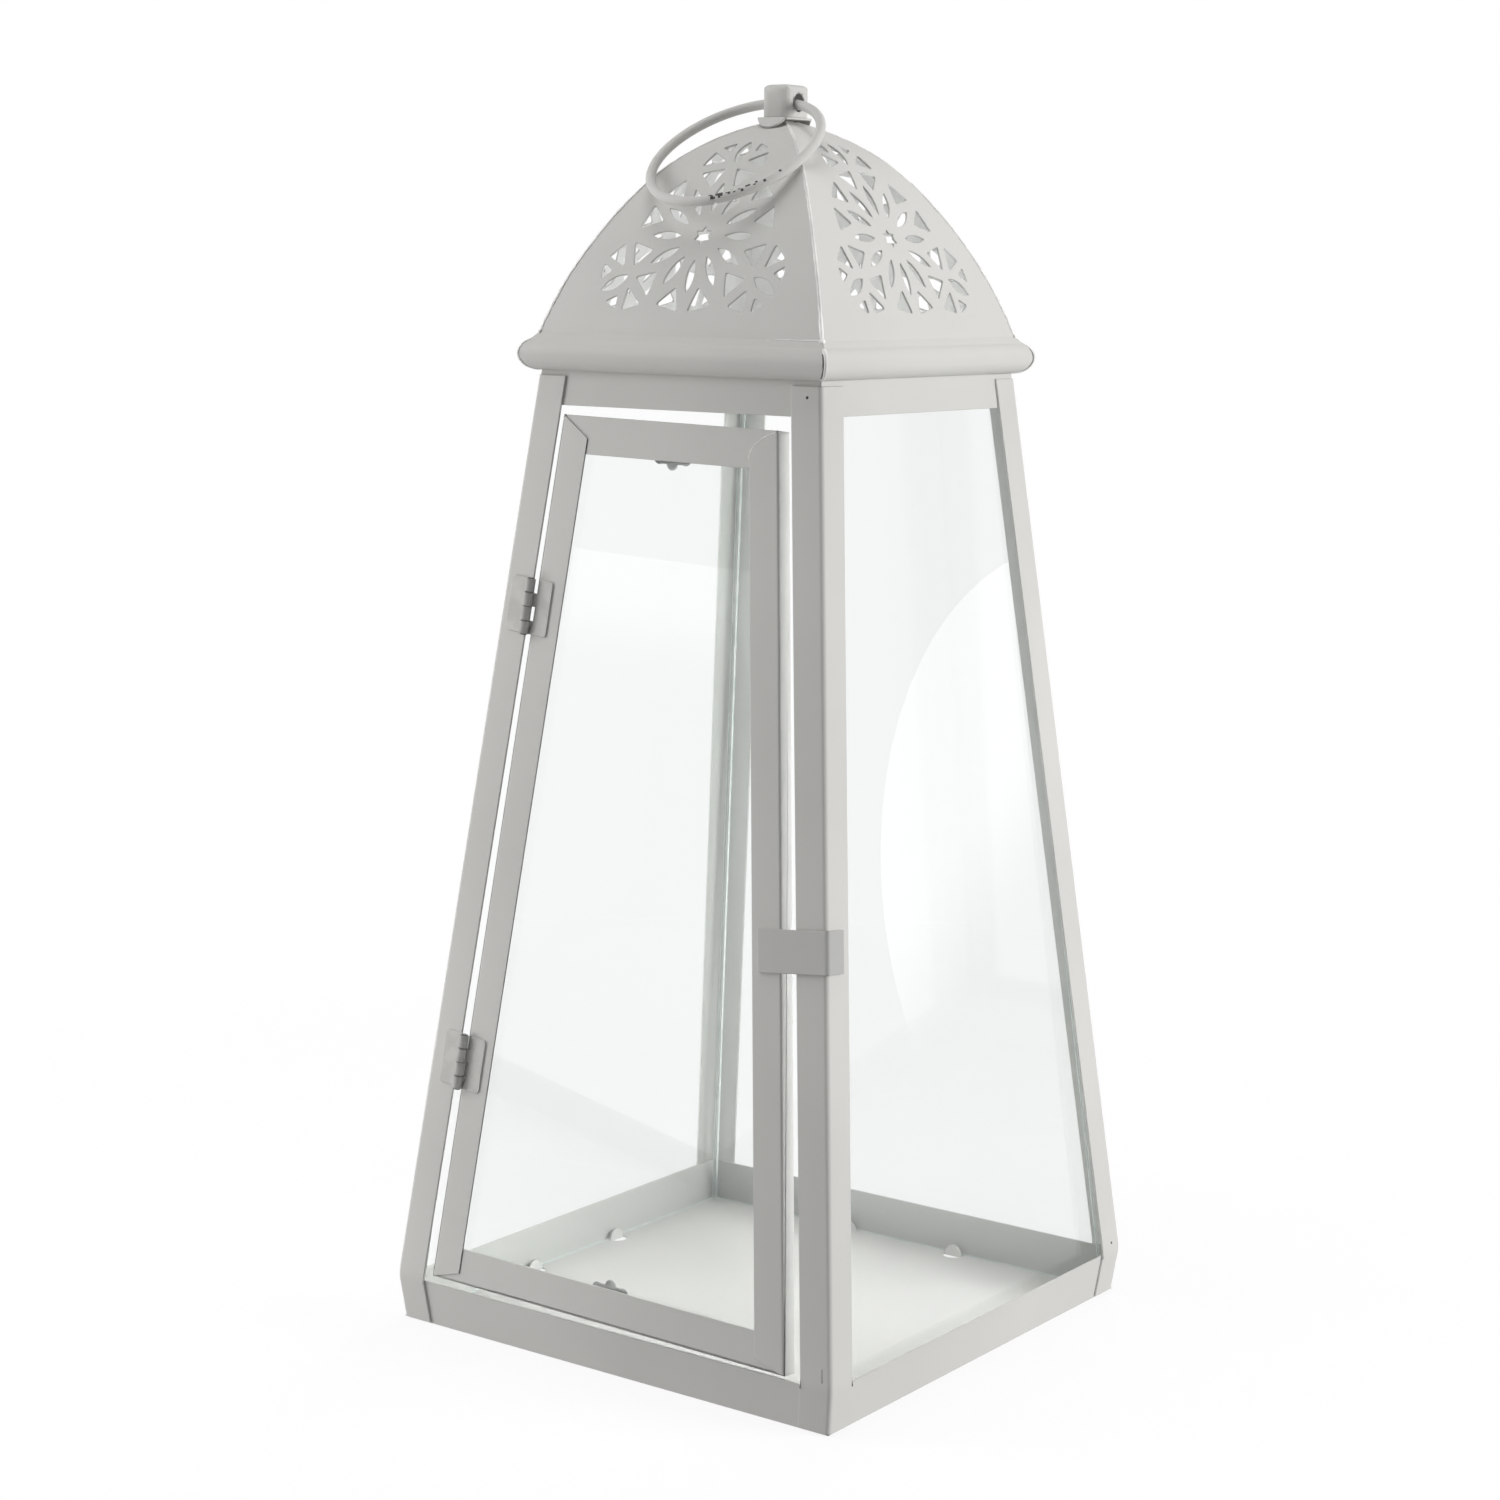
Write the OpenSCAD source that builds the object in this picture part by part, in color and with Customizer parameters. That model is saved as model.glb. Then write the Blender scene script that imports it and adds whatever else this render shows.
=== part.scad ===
// A candle lantern in sheet metal and glass: four leaning corner posts on a shallow tray, three fixed
// panes, a glazed door on two hinges, and a domed roof of four pierced panels with a cap and a ring.
// The origin is at the middle of the tray's underside, the door faces -Y and +Z is up.

/* [Body] */
// Width across the posts at the knee, where they turn from the tray towards the roof
body_w = 170; // [160:1:180]
// Inset of the feet of the posts from the knee, on each side
foot_in = 1.7; // [0.5:0.1:3]
// Width across the tops of the posts
top_w = 107.1; // [104:0.1:111]
// Height of the tops of the posts
post_h = 302.8; // [285:0.1:330]
// Height of the knee
knee_h = 14.8; // [14:0.1:16]

/* [Posts and tray] */
// Width of each leg of an angle post
post_leg = 11; // [9:0.5:12]
// Sheet thickness of the posts
post_t = 0.7; // [0.5:0.1:1]
// Height of the feet of the posts above the tray's underside
foot_gap = 0.5; // [0.2:0.1:1]
// Height of the tray's wall
tray_h = 14.3; // [12:0.1:14.8]
// Sheet thickness of the tray
tray_t = 0.6; // [0.4:0.1:0.8]
// Radius of the half-round tabs that hold the feet of the panes
tab_r = 3.4; // [2.5:0.1:4.5]
// Distance of each tab from the middle of its side
tab_spread = 22; // [15:1:35]

/* [Fixed panes] */
// Thickness of the glass
glass_t = 2; // [1.5:0.1:2.2]
// Clearance round a pane
glass_clear = 0.1; // [0.05:0.05:0.2]
// Height of the tops of the fixed panes above the lower edge of the roof's flange
glass_lap = 3.2; // [2:0.1:4]
// Width of the keepers that hold the tops of the panes
keeper_w = 7; // [5:0.5:10]

/* [Roof] */
// Sheet thickness of the roof
roof_t = 0.6; // [0.4:0.1:0.7]
// Height of the flange that laps the posts
flange_h = 9; // [7:0.1:11]
// Radius of the rolled bead
bead_r = 4.9; // [4.5:0.1:5.2]
// Reach of the bead beyond the tops of the posts
bead_reach = 4.5; // [4:0.1:5]
// Height of the bead's centre above the tops of the posts
bead_lift = 6.55; // [6.2:0.05:7]
// Inset of the dome's lower edge from the tops of the posts
crease_in = 0.25; // [0:0.05:0.5]
// Height of the dome's lower edge above the tops of the posts
crease_lift = 13.1; // [12.6:0.1:13.6]
// Radius of the dome's lower sweep
sweep_low_r = 145.7; // [140:0.1:150]
// Radius of the dome's upper sweep
sweep_high_r = 55.7; // [53:0.1:58]

/* [Pierced pattern] */
// Distance up each panel from the dome's lower edge to the middle of the flower
flower_up = 32.6; // [31:0.1:34]
// Radius of the flower's petals
flower_r = 19; // [17:0.1:20]
// Rounding of the corners of the pierced triangles
pierce_round = 0.5; // [0.3:0.1:0.7]

/* [Door] */
// Gap between the door and the roof's flange
door_gap_top = 2.7; // [2:0.1:4]
// Gap between the door and the tray
door_gap_foot = 2.7; // [2.4:0.1:4]
// Drop of the door's rails towards the latch side
door_drop = 1.5; // [0:0.1:1.8]
// Inset of the door from the body's edge, hinge side, at its top
hinge_in_top = 13; // [12:0.1:14]
// Inset of the door from the body's edge, hinge side, at its foot
hinge_in_foot = 14.9; // [14:0.1:16]
// Inset of the door from the body's edge, latch side, at its top
latch_in_top = 15.6; // [14:0.1:17]
// Inset of the door from the body's edge, latch side, at its foot
latch_in_foot = 16.8; // [15:0.1:18]
// Width of the door's stiles
stile_w = 10.6; // [9:0.1:12]
// Width of the door's top rail
rail_top_w = 11.7; // [10:0.1:13]
// Width of the door's bottom rail
rail_foot_w = 11.1; // [10:0.1:13]
// Sheet thickness of the door frame
door_t = 0.6; // [0.4:0.1:0.8]
// Depth of the door frame
door_d = 5.5; // [4.5:0.1:7]
// Height of the stiles' face above the rails' face
stile_step = 0.35; // [0.2:0.05:0.4]
// Height of the door's face above the posts' face
door_proud = 0.2; // [0.1:0.05:0.25]
// Fall of the cut at the top of each stile
mitre_top = 6; // [4:0.5:9]
// Rise of the cut at the foot of each stile
mitre_foot = 4; // [3:0.5:8]
// Radius of the lobes of the stamped glass clips
lobe_r = 2.1; // [1.5:0.1:2.5]
// Distance of the outer lobes of a clip from its middle
lobe_spread = 5; // [4.5:0.1:6]
// Reach of a clip's middle lobe past the rail
lobe_reach = 2.6; // [2:0.1:3]
// Reach of a clip's outer lobes past the rail
lobe_side_reach = 1; // [0.5:0.1:1.5]
// Reach of the web between a clip's lobes past the rail
web_reach = 0.8; // [0.3:0.1:1]
// Sheet thickness of the clips
clip_t = 0.5; // [0.3:0.1:0.7]

/* [Latch] */
// Height of the latch strip's middle where it crosses the corner
latch_z = 140.7; // [120:0.1:170]
// Width of the latch strip
latch_w = 12.9; // [10:0.1:16]
// Thickness of the latch strip
latch_t = 0.8; // [0.5:0.1:1]
// Length of the strip from the corner across the door's stile
latch_l = 24; // [20:0.5:26]
// Depth of the strip's hook along the side of the post
hook_d = 7.2; // [5:0.1:9]
// Clearance between the hook and the post
hook_clear = 0.3; // [0.2:0.05:0.5]

/* [Hinges] */
// Length of a hinge
hinge_l = 17.3; // [15:0.1:20]
// Diameter of the knuckles
knuckle_d = 3; // [2.8:0.1:3.1]
// Height of the hinge axis above the posts' face
hinge_proud = 1.8; // [1.8:0.05:2]
// Diameter of the hinge pin
pin_d = 1.6; // [1.2:0.1:1.8]
// Clearance all round the pin
pin_clear = 0.05; // [0.03:0.01:0.08]
// Gap between neighbouring knuckles
knuckle_gap = 0.12; // [0.08:0.02:0.2]
// Thickness of the hinge leaves
leaf_t = 0.5; // [0.4:0.05:0.6]
// Reach of the post's leaf from the axis
post_leaf_w = 8.7; // [7:0.1:10]
// Reach of the door's leaf from the axis
door_leaf_w = 8; // [7:0.1:9]
// Rounding of the leaves' corners
leaf_round = 1.2; // [0.5:0.1:2]
// Gap between a leaf and the knuckles of the other leaf
notch_gap = 0.9; // [0.5:0.1:1.2]
// Height of the lower hinge's middle above the door's foot
hinge_low_up = 70.1; // [50:0.1:90]
// Distance of the upper hinge's middle below the door's top
hinge_high_down = 59.5; // [40:0.1:80]
// Distance of the axis outside the door's edge at the lower hinge
axis_out_low = 0.46; // [0.3:0.02:0.8]
// Distance of the axis outside the door's edge at the upper hinge
axis_out_high = 1.6; // [1.2:0.05:1.8]

/* [Crown] */
// Half-width of the small opening where the roof panels meet
crown_gap = 1; // [0.5:0.1:2]
// Shift of the crown plate and the cap towards the latch side
crown_right = 0.6; // [0:0.1:1]
// Thickness of the crown plate
plate_t = 0.7; // [0.5:0.1:1]
// Width of the crown plate
plate_w = 11; // [11:0.1:13]
// Depth of the crown plate's flat middle, from front to rear
plate_d = 13.6; // [13.4:0.1:15]
// Distance from the middle to the tip of each of the plate's flaps
flap_reach = 9.2; // [8.8:0.1:10]
// Width of the stamped cap that holds the ring
cap_w = 10.8; // [9.5:0.1:10.9]
// Depth of the cap, from front to rear
cap_d = 12.6; // [11:0.1:12.8]
// Height of the cap above the crown plate
cap_h = 10; // [9:0.1:12]
// Sheet thickness of the cap
cap_t = 0.8; // [0.5:0.1:1]
// Rounding of the cap's upright corners
cap_corner_r = 3.4; // [2:0.1:4]
// Rounding of the edges of the cap's top
cap_top_r = 3; // [2:0.1:4]
// Shift of the cap towards the rear
cap_back = 0.4; // [0:0.1:0.4]
// Clearance between the ring's wire and the holes in the cap
hole_clear = 0.15; // [0.1:0.05:0.3]
// Radius of the ring to the middle of its wire
ring_r = 27.4; // [24:0.1:30]
// Diameter of the ring's wire
wire_d = 3; // [2.5:0.1:3.2]
// Distance of the ring's pivot below the top of the cap
ring_down = 5.5; // [5:0.1:6]
// Shift of the ring towards the hinge side
ring_shift = 1.6; // [0:0.1:2.5]
// Clearance between the resting ring and the roof
ring_clear = 0.3; // [0.2:0.05:0.5]

/* [Hidden] */

$fa = 3;
$fs = 0.15;

paint = "#cfcdc8";
pane_tint = [0.82, 0.9, 0.87, 0.35];

FRONT = 0;
RIGHT = 1;
REAR = 2;
LEFT = 3;
HINGE_SIDE = -1;
LATCH_SIDE = 1;
LOW = 0;
HIGH = 1;

foot_w = body_w - 2 * foot_in;

// Lean of the faces above the knee, and their flare below it
lean_slope = (body_w - top_w) / 2 / (post_h - knee_h);
lean = atan(lean_slope);
flare_slope = foot_in / knee_h;
flare = atan(flare_slope);
// Half-width at which the leaning faces would meet the ground
ground_half = body_w / 2 + knee_h * lean_slope;
// Turn of a corner edge from upright, seen square to a face
edge_turn = atan(sin(lean));
half_turn = 180;
// A size larger than the whole lantern, for blocks that cut
reach = 3 * (body_w + post_h);

function face_half(z) = ground_half - z * lean_slope;
function up_face(z) = z / cos(lean);

// Fixed panes: inner face at the foot, and the lean that brings the top to the roof's flange
flange_z = post_h - flange_h;
flange_out_inset = post_t;
flange_in_inset = post_t + roof_t;
pane_top_z = flange_z + glass_lap;
wall_in_half = foot_w / 2 + tray_t * flare_slope - (post_t + tray_t) / cos(flare);
pane_foot_half = wall_in_half - glass_clear - glass_t;
pane_top_out_half = face_half(pane_top_z) - (flange_in_inset + glass_clear) / cos(lean);
pane_lean = atan((pane_foot_half + glass_t - pane_top_out_half) / (pane_top_z - tray_t));
pane_h = (pane_top_z - tray_t) / cos(pane_lean);
pane_corner_gap = 2 * glass_clear;
tab_out_half = pane_foot_half - tab_r * tan(pane_lean) - glass_clear / 2;

// Roof profile, as radius from the middle and height
bead_at = [top_w / 2 + bead_reach - bead_r, post_h + bead_lift];
crease_at = [top_w / 2 - crease_in, post_h + crease_lift];
sweep_from = 16.7;
sweep_join = 36.8;
function polar(r, a) = [r * cos(a), r * sin(a)];
sweep_low_at = crease_at - polar(sweep_low_r, sweep_from);
join_at = sweep_low_at + polar(sweep_low_r, sweep_join);
sweep_high_at = join_at - polar(sweep_high_r, sweep_join);
sweep_to = acos((crown_gap - sweep_high_at.x) / sweep_high_r);
bead_to = 64.2;
// Angles by which the bead and the dome run on under the slope between them
bead_lap = 5;
sweep_lap = 0.2;
flange_top_z = bead_at.y - bead_r + roof_t * 2 / 3;
flange_top_half = face_half(flange_top_z) - flange_out_inset / cos(lean);
flange_wall = roof_t / cos(lean);
bead_from = -acos((flange_top_half - flange_wall - bead_at.x) / bead_r);

// Point and slope of the dome at a length s up the panel from its lower edge
low_arc_l = sweep_low_r * (sweep_join - sweep_from) * PI / half_turn;
function sweep_angle(s) = s < low_arc_l
    ? sweep_from + s / sweep_low_r * half_turn / PI
    : sweep_join + (s - low_arc_l) / sweep_high_r * half_turn / PI;
function sweep_point(s) = s < low_arc_l
    ? sweep_low_at + polar(sweep_low_r, sweep_angle(s))
    : sweep_high_at + polar(sweep_high_r, sweep_angle(s));
function dome_z(half) = sweep_high_at.y + sqrt(pow(sweep_high_r, 2) - pow(half - sweep_high_at.x, 2));

// Pierced pattern: the forms' corners along and across an axis of the flower, as shares of its radius
petal_count = 12;
petal_shares = [0.43, 1, 0.15];
corner_petal_shares = [1.43, 1.98, 0.2];
inner_triangle_shares = [[0.9, 0.22], [1.2, 0.55], [1.31, 0.1]];
outer_triangle_shares = [[1.35, 0.62], [1.48, 0.2], [1.7, 0.53]];
small_triangle_shares = [[1.7, 0.24], [1.81, 0.46], [1.95, 0.22]];
star_shares = [0.17, 0.1];
star_points = 6;
round_steps = 3;
pierce_reach = 3 * roof_t;

// Door corners on the front face, as distance across and distance up the face
door_top_z = flange_z - door_gap_top;
door_foot_z = tray_h + door_gap_foot;
function at_face(side, z, inset) = [side * (face_half(z) - inset), up_face(z)];
hinge_top = at_face(HINGE_SIDE, door_top_z, hinge_in_top);
hinge_foot = at_face(HINGE_SIDE, door_foot_z, hinge_in_foot);
latch_top = at_face(LATCH_SIDE, door_top_z - door_drop, latch_in_top);
latch_foot = at_face(LATCH_SIDE, door_foot_z - door_drop, latch_in_foot);

function unit(v) = v / norm(v);
// Point where the line through p along u crosses the line through q along w
function meet(p, u, q, w) = p + u * cross(q - p, w) / cross(u, w);
// Line through a and b moved inwards by d, where inwards is to the right of the way from a to b
function moved(a, b, d) = let (u = unit(b - a)) [a + d * [u.y, -u.x], u];
function crossing(m, n) = meet(m[0], m[1], n[0], n[1]);
function hinge_line(d) = moved(hinge_foot, hinge_top, d);
function latch_line(d) = moved(latch_top, latch_foot, d);
function top_line(d) = moved(hinge_top, latch_top, d);
function foot_line(d) = moved(latch_foot, hinge_foot, d);
// Door outline moved inwards by d all round
function door_inside(d) = [
    crossing(hinge_line(d), foot_line(d)),
    crossing(hinge_line(d), top_line(d)),
    crossing(latch_line(d), top_line(d)),
    crossing(latch_line(d), foot_line(d))
];
hinge_up = unit(hinge_top - hinge_foot);
latch_up = unit(latch_top - latch_foot);
hinge_mitre_top = hinge_line(stile_w)[0] + hinge_up * (norm(hinge_top - hinge_foot) - mitre_top);
hinge_mitre_foot = hinge_line(stile_w)[0] + hinge_up * mitre_foot;
latch_mitre_top = latch_line(stile_w)[0] - latch_up * mitre_top;
latch_mitre_foot = latch_line(stile_w)[0] - latch_up * (norm(latch_top - latch_foot) - mitre_foot);
// Point on a stile's cut, clear of the stile's folded edge
function on_cut(corner, mitre) = corner + (mitre - corner) * door_t / stile_w;
stile_back = door_proud - door_t;
// Run of each folded edge into the face that it is folded from
fold_lap = door_t / 2;
rail_face = door_proud - stile_step;
rail_back = rail_face - door_t;
glass_back = rail_back - glass_t;

// Hinge axis through the middles of the two hinges
hinge_low_z = door_foot_z + hinge_low_up;
hinge_high_z = door_top_z - hinge_high_down;
function on_hinge_edge(z) = meet(hinge_foot, hinge_up, [0, up_face(z)], [1, 0]);
hinge_at = [
    on_hinge_edge(hinge_low_z) - [axis_out_low, 0],
    on_hinge_edge(hinge_high_z) - [axis_out_high, 0]
];
axis_way = hinge_at[HIGH] - hinge_at[LOW];
axis_turn = atan2(axis_way.x, axis_way.y);
knuckle_count = 4;
knuckle_pitch = hinge_l / knuckle_count;
knuckle_r = knuckle_d / 2;
// Thickness of the heads of a pin, and their reach beyond the pin
head_t = 0.3;
head_over = 0.3;
head_r = pin_d / 2 + head_over;
post_knuckles = [0, 2];
door_knuckles = [1, 3];

// Crown: the plate sits on the roof's tip, and its flaps come down to the front and rear panels
plate_z = dome_z(crown_gap);
flap_from = plate_d / 2;
flap_turn = atan((plate_z - dome_z(flap_reach)) / (flap_reach - flap_from));
flap_l = (flap_reach - flap_from) / cos(flap_turn);
cap_z = plate_z + plate_t;
cap_top_z = cap_z + cap_h;
ring_z = cap_top_z - ring_down;
// The ring bends away from its axis and runs slantwise where it leaves the cap, so its holes are wider
hole_far = cap_w / 2 + crown_right + ring_shift;
hole_chord = sqrt(pow(ring_r, 2) - pow(hole_far, 2));
hole_r = ring_r - hole_chord + wire_d / 2 * ring_r / hole_chord + hole_clear;

// Height of a point above the dome's outer face, across a panel whose half-width there is half
function panel_gap(half, z) = atan2(z - sweep_high_at.y, half - sweep_high_at.x) > sweep_join
    ? norm([half, z] - sweep_high_at) - sweep_high_r
    : norm([half, z] - sweep_low_at) - sweep_low_r;
function panel_slope(half, z) = atan2(z - sweep_low_at.y, half - sweep_low_at.x);
// Distance of a point from the dome, where a ridge between two panels may be nearest
function dome_gap(p) = let (
    a = panel_gap(abs(p.x), p.z),
    b = panel_gap(abs(p.y), p.z),
    c = pow(sin(panel_slope(abs(p.y), p.z)), 2)
) (a * c < b && b * c < a) ? sqrt((a * a + b * b - 2 * a * b * c) / (1 - c * c)) : max(a, b);
// The ring's wire at angle t round the ring, with the ring fallen by tilt towards the door
function ring_point(t, tilt) = let (down = ring_r * (1 - cos(t)))
    [ring_r * sin(t) - ring_shift, -down * cos(tilt), ring_z - down * sin(tilt)];
ring_check_from = 30;
ring_check_step = 3;
function ring_gap(tilt) = min([
    for (t = [ring_check_from : ring_check_step : 360 - ring_check_from]) dome_gap(ring_point(t, tilt))
]);
// The furthest that the ring falls before it comes within its clearance of the dome
tilt_step = 0.05;
function fall(tilt) = ring_gap(tilt + tilt_step) < wire_d / 2 + ring_clear ? tilt : fall(tilt + tilt_step);
ring_tilt = fall(0);

// Puts its children on one of the four faces: x across, y up the face, z outwards
module on_side(side) {
    rotate([0, 0, 90 * side])
        translate([0, -ground_half, 0])
        rotate([90 - lean, 0, 0])
        children();
}

// All that lies inside one side of the body, set in by inset from the posts' outer face
module inside_of(side, inset) {
    intersection() {
        on_side(side)
            translate([-reach / 2, -reach / 2, -inset - reach])
            cube(reach);
        rotate([0, 0, 90 * side])
            translate([0, -foot_w / 2, 0])
            rotate([90 + flare, 0, 0])
            translate([-reach / 2, -reach / 2, -inset - reach])
            cube(reach);
    }
}

// All that lies inside the four sides between two heights
module body_block(inset, z_from, z_to) {
    intersection() {
        intersection_for (side = [FRONT : LEFT])
            inside_of(side, inset);
        translate([-reach / 2, -reach / 2, z_from])
            cube([reach, reach, z_to - z_from]);
    }
}

// Angle post at the corner between a side and the next side round
module corner_post(side) {
    color(paint)
    difference() {
        intersection() {
            inside_of(side, 0);
            inside_of(side + 1, 0);
            translate([-reach / 2, -reach / 2, foot_gap])
                cube([reach, reach, post_h - foot_gap]);
        }
        inside_of(side, post_leg);
        inside_of(side + 1, post_leg);
        intersection() {
            inside_of(side, post_t);
            inside_of(side + 1, post_t);
        }
    }
}

module half_disc(r) {
    intersection() {
        circle(r);
        translate([-r, 0])
            square([2 * r, r]);
    }
}

// Places of the tabs and keepers: two on each glazed side
module each_tab() {
    for (side = [RIGHT : LEFT], x = [-tab_spread, tab_spread])
        rotate([0, 0, 90 * side])
        translate([x, 0, 0])
        children();
}

// Folded tray with half-round tabs bent up out of its floor
module base_tray() {
    color(paint) {
        difference() {
            body_block(post_t, 0, tray_h);
            body_block(post_t + tray_t, tray_t, post_h);
            each_tab()
                translate([0, tray_t - tab_out_half, -tray_t])
                linear_extrude(3 * tray_t)
                half_disc(tab_r);
        }
        each_tab()
            translate([0, tray_t - tab_out_half, tray_t])
            rotate([90, 0, 0])
            linear_extrude(tray_t)
            half_disc(tab_r);
        each_tab()
            translate([-tab_r, -tab_out_half, 0])
            cube([2 * tab_r, tray_t, tray_t]);
    }
}

// Fixed pane, standing on the tray inside the wall and leaning on the roof's flange
module fixed_pane(side) {
    foot_half = pane_foot_half - pane_corner_gap;
    top_half = foot_half - pane_h * sin(pane_lean);
    color(pane_tint)
    rotate([0, 0, 90 * side])
        translate([0, -pane_foot_half, tray_t])
        rotate([90 - pane_lean, 0, 0])
        linear_extrude(glass_t)
        polygon([[-foot_half, 0], [foot_half, 0], [top_half, pane_h], [-top_half, pane_h]]);
}

// Small angles on the inside of the flange that hold the tops of the fixed panes
module pane_keepers() {
    keeper_z = up_face(pane_top_z + tray_t + glass_clear);
    arm = glass_t + 2 * glass_clear + tray_t;
    color(paint)
    for (side = [RIGHT : LEFT], x = [-tab_spread, tab_spread])
        on_side(side)
        translate([x - keeper_w / 2, keeper_z, -flange_in_inset - arm]) {
            cube([keeper_w, tray_t, arm]);
            translate([0, -glass_lap, 0])
                cube([keeper_w, glass_lap, tray_t]);
        }
}

// Part of a round strip between two angles, t thick inwards from radius r
fan_step = 45;
module arc_strip(r, t, from, to) {
    steps = ceil((to - from) / fan_step);
    fan = [for (i = [0 : steps]) polar(2 * r, from + (to - from) * i / steps)];
    intersection() {
        difference() {
            circle(r);
            circle(r - t);
        }
        polygon(concat([[0, 0]], fan));
    }
}

// Runs a section across the whole width of the lantern
module run_across() {
    linear_extrude(body_w, center = true)
        children();
}

// Uncut sheet of the front roof panel: flange, rolled bead, slope and the two sweeps of the dome;
// sections are drawn with x as the distance from the middle and y as the height
module roof_sheet() {
    flange_foot_half = face_half(flange_z) - flange_out_inset / cos(lean);
    rotate([0, 0, -90])
        rotate([90, 0, 0]) {
            run_across()
                polygon([
                    [flange_foot_half, flange_z],
                    [flange_top_half, flange_top_z],
                    [flange_top_half - flange_wall, flange_top_z],
                    [flange_foot_half - flange_wall, flange_z]
                ]);
            translate(bead_at)
                run_across()
                arc_strip(bead_r, roof_t, bead_from, bead_to + bead_lap);
            run_across()
                polygon([
                    bead_at + polar(bead_r, bead_to),
                    crease_at,
                    sweep_low_at + polar(sweep_low_r - roof_t, sweep_from),
                    bead_at + polar(bead_r - roof_t, bead_to)
                ]);
            translate(sweep_low_at)
                rotate(sweep_join) {
                    run_across()
                        arc_strip(sweep_low_r, roof_t, sweep_from - sweep_join - sweep_lap, 0);
                    translate([sweep_low_r - sweep_high_r, 0])
                        run_across()
                        arc_strip(sweep_high_r, roof_t, 0, sweep_to - sweep_join);
                }
        }
}

// Outline with each corner rounded by r, in round_steps straight steps
function rounded_corner(a, b, c, r) = let (
    u = unit(a - b),
    w = unit(c - b),
    half = acos(u * w) / 2,
    centre = b + unit(u + w) * r / sin(half),
    from = b + u * r / tan(half) - centre,
    turn = sign(cross(u, w)) * (half_turn - 2 * half)
) [for (i = [0 : round_steps]) let (t = -turn * i / round_steps)
    centre + [from.x * cos(t) - from.y * sin(t), from.x * sin(t) + from.y * cos(t)]];
function rounded(p, r) = let (n = len(p)) [
    for (i = [0 : n - 1], q = rounded_corner(p[(i + n - 1) % n], p[i], p[(i + 1) % n], r)) q
];

// Pointed oval along x, from one distance to another, w wide
module petal(from, to, w) {
    r = (pow(to - from, 2) / 4 + pow(w / 2, 2)) / w;
    intersection() {
        translate([(from + to) / 2, r - w / 2])
            circle(r);
        translate([(from + to) / 2, w / 2 - r])
            circle(r);
    }
}

module petal_by(shares) {
    petal(shares[0] * flower_r, shares[1] * flower_r, shares[2] * flower_r);
}

module triangle_pair(shares) {
    corners = rounded(shares * flower_r, pierce_round);
    polygon(corners);
    mirror([0, 1])
        polygon(corners);
}

module star() {
    polygon([
        for (i = [0 : 2 * star_points - 1])
            polar(star_shares[i % 2] * flower_r, 30 + i * half_turn / star_points)
    ]);
}

// Cuts its outline through the front panel square to the sheet at a distance out from the flower's
// middle, along the axis at angle turn; the outline is drawn round the flower's middle
module pierce(turn, out) {
    s = flower_up + out * sin(turn);
    at = sweep_point(s);
    translate([out * cos(turn), -at.x, at.y])
        rotate([90 - sweep_angle(s), 0, 0])
        rotate([0, 0, turn])
        translate([-out, 0, -pierce_reach])
        linear_extrude(2 * pierce_reach)
        children();
}

module pierced_pattern() {
    pierce(0, 0)
        star();
    for (i = [0 : petal_count - 1])
        pierce(i * 360 / petal_count, (petal_shares[0] + petal_shares[1]) / 2 * flower_r)
        petal_by(petal_shares);
    for (turn = [30 : 60 : 330])
        pierce(turn, inner_triangle_shares[1].x * flower_r)
        triangle_pair(inner_triangle_shares);
    for (turn = [90, 210, 330]) {
        pierce(turn, outer_triangle_shares[1].x * flower_r)
            triangle_pair(outer_triangle_shares);
        pierce(turn, small_triangle_shares[1].x * flower_r)
            triangle_pair(small_triangle_shares);
        pierce(turn, (corner_petal_shares[0] + corner_petal_shares[1]) / 2 * flower_r)
            petal_by(corner_petal_shares);
    }
}

// One side of the roof, cut to meet its neighbours along the ridges
module roof_panel(side) {
    color(paint)
    rotate([0, 0, 90 * side])
        difference() {
            intersection() {
                roof_sheet();
                linear_extrude(2 * post_h)
                    polygon([[0, 0], [-body_w, -body_w], [body_w, -body_w]]);
            }
            pierced_pattern();
        }
}

// Flap of the crown plate, bent down to the dome, with a round end
module crown_flap() {
    end_r = plate_w / 2;
    translate([0, -flap_from, plate_z + plate_t])
        rotate([flap_turn, 0, 0])
        translate([0, 0, -plate_t])
        linear_extrude(plate_t)
        intersection() {
            translate([0, end_r - flap_l])
                circle(end_r);
            translate([-end_r, -flap_l])
                square([2 * end_r, flap_l]);
        }
}

module crown_plate() {
    color(paint)
    translate([crown_right, 0, 0]) {
        translate([-plate_w / 2, -flap_from, plate_z])
            cube([plate_w, plate_d, plate_t]);
        crown_flap();
        mirror([0, 1, 0])
            crown_flap();
    }
}

// Outline w wide and h high, standing on x, with its upper corners rounded by r
module round_top(w, h, r) {
    translate([-w / 2, 0])
        square([w, h - r]);
    translate([r - w / 2, 0])
        square([w - 2 * r, h]);
    for (x = [r - w / 2, w / 2 - r])
        translate([x, h - r])
        circle(r);
}

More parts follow.
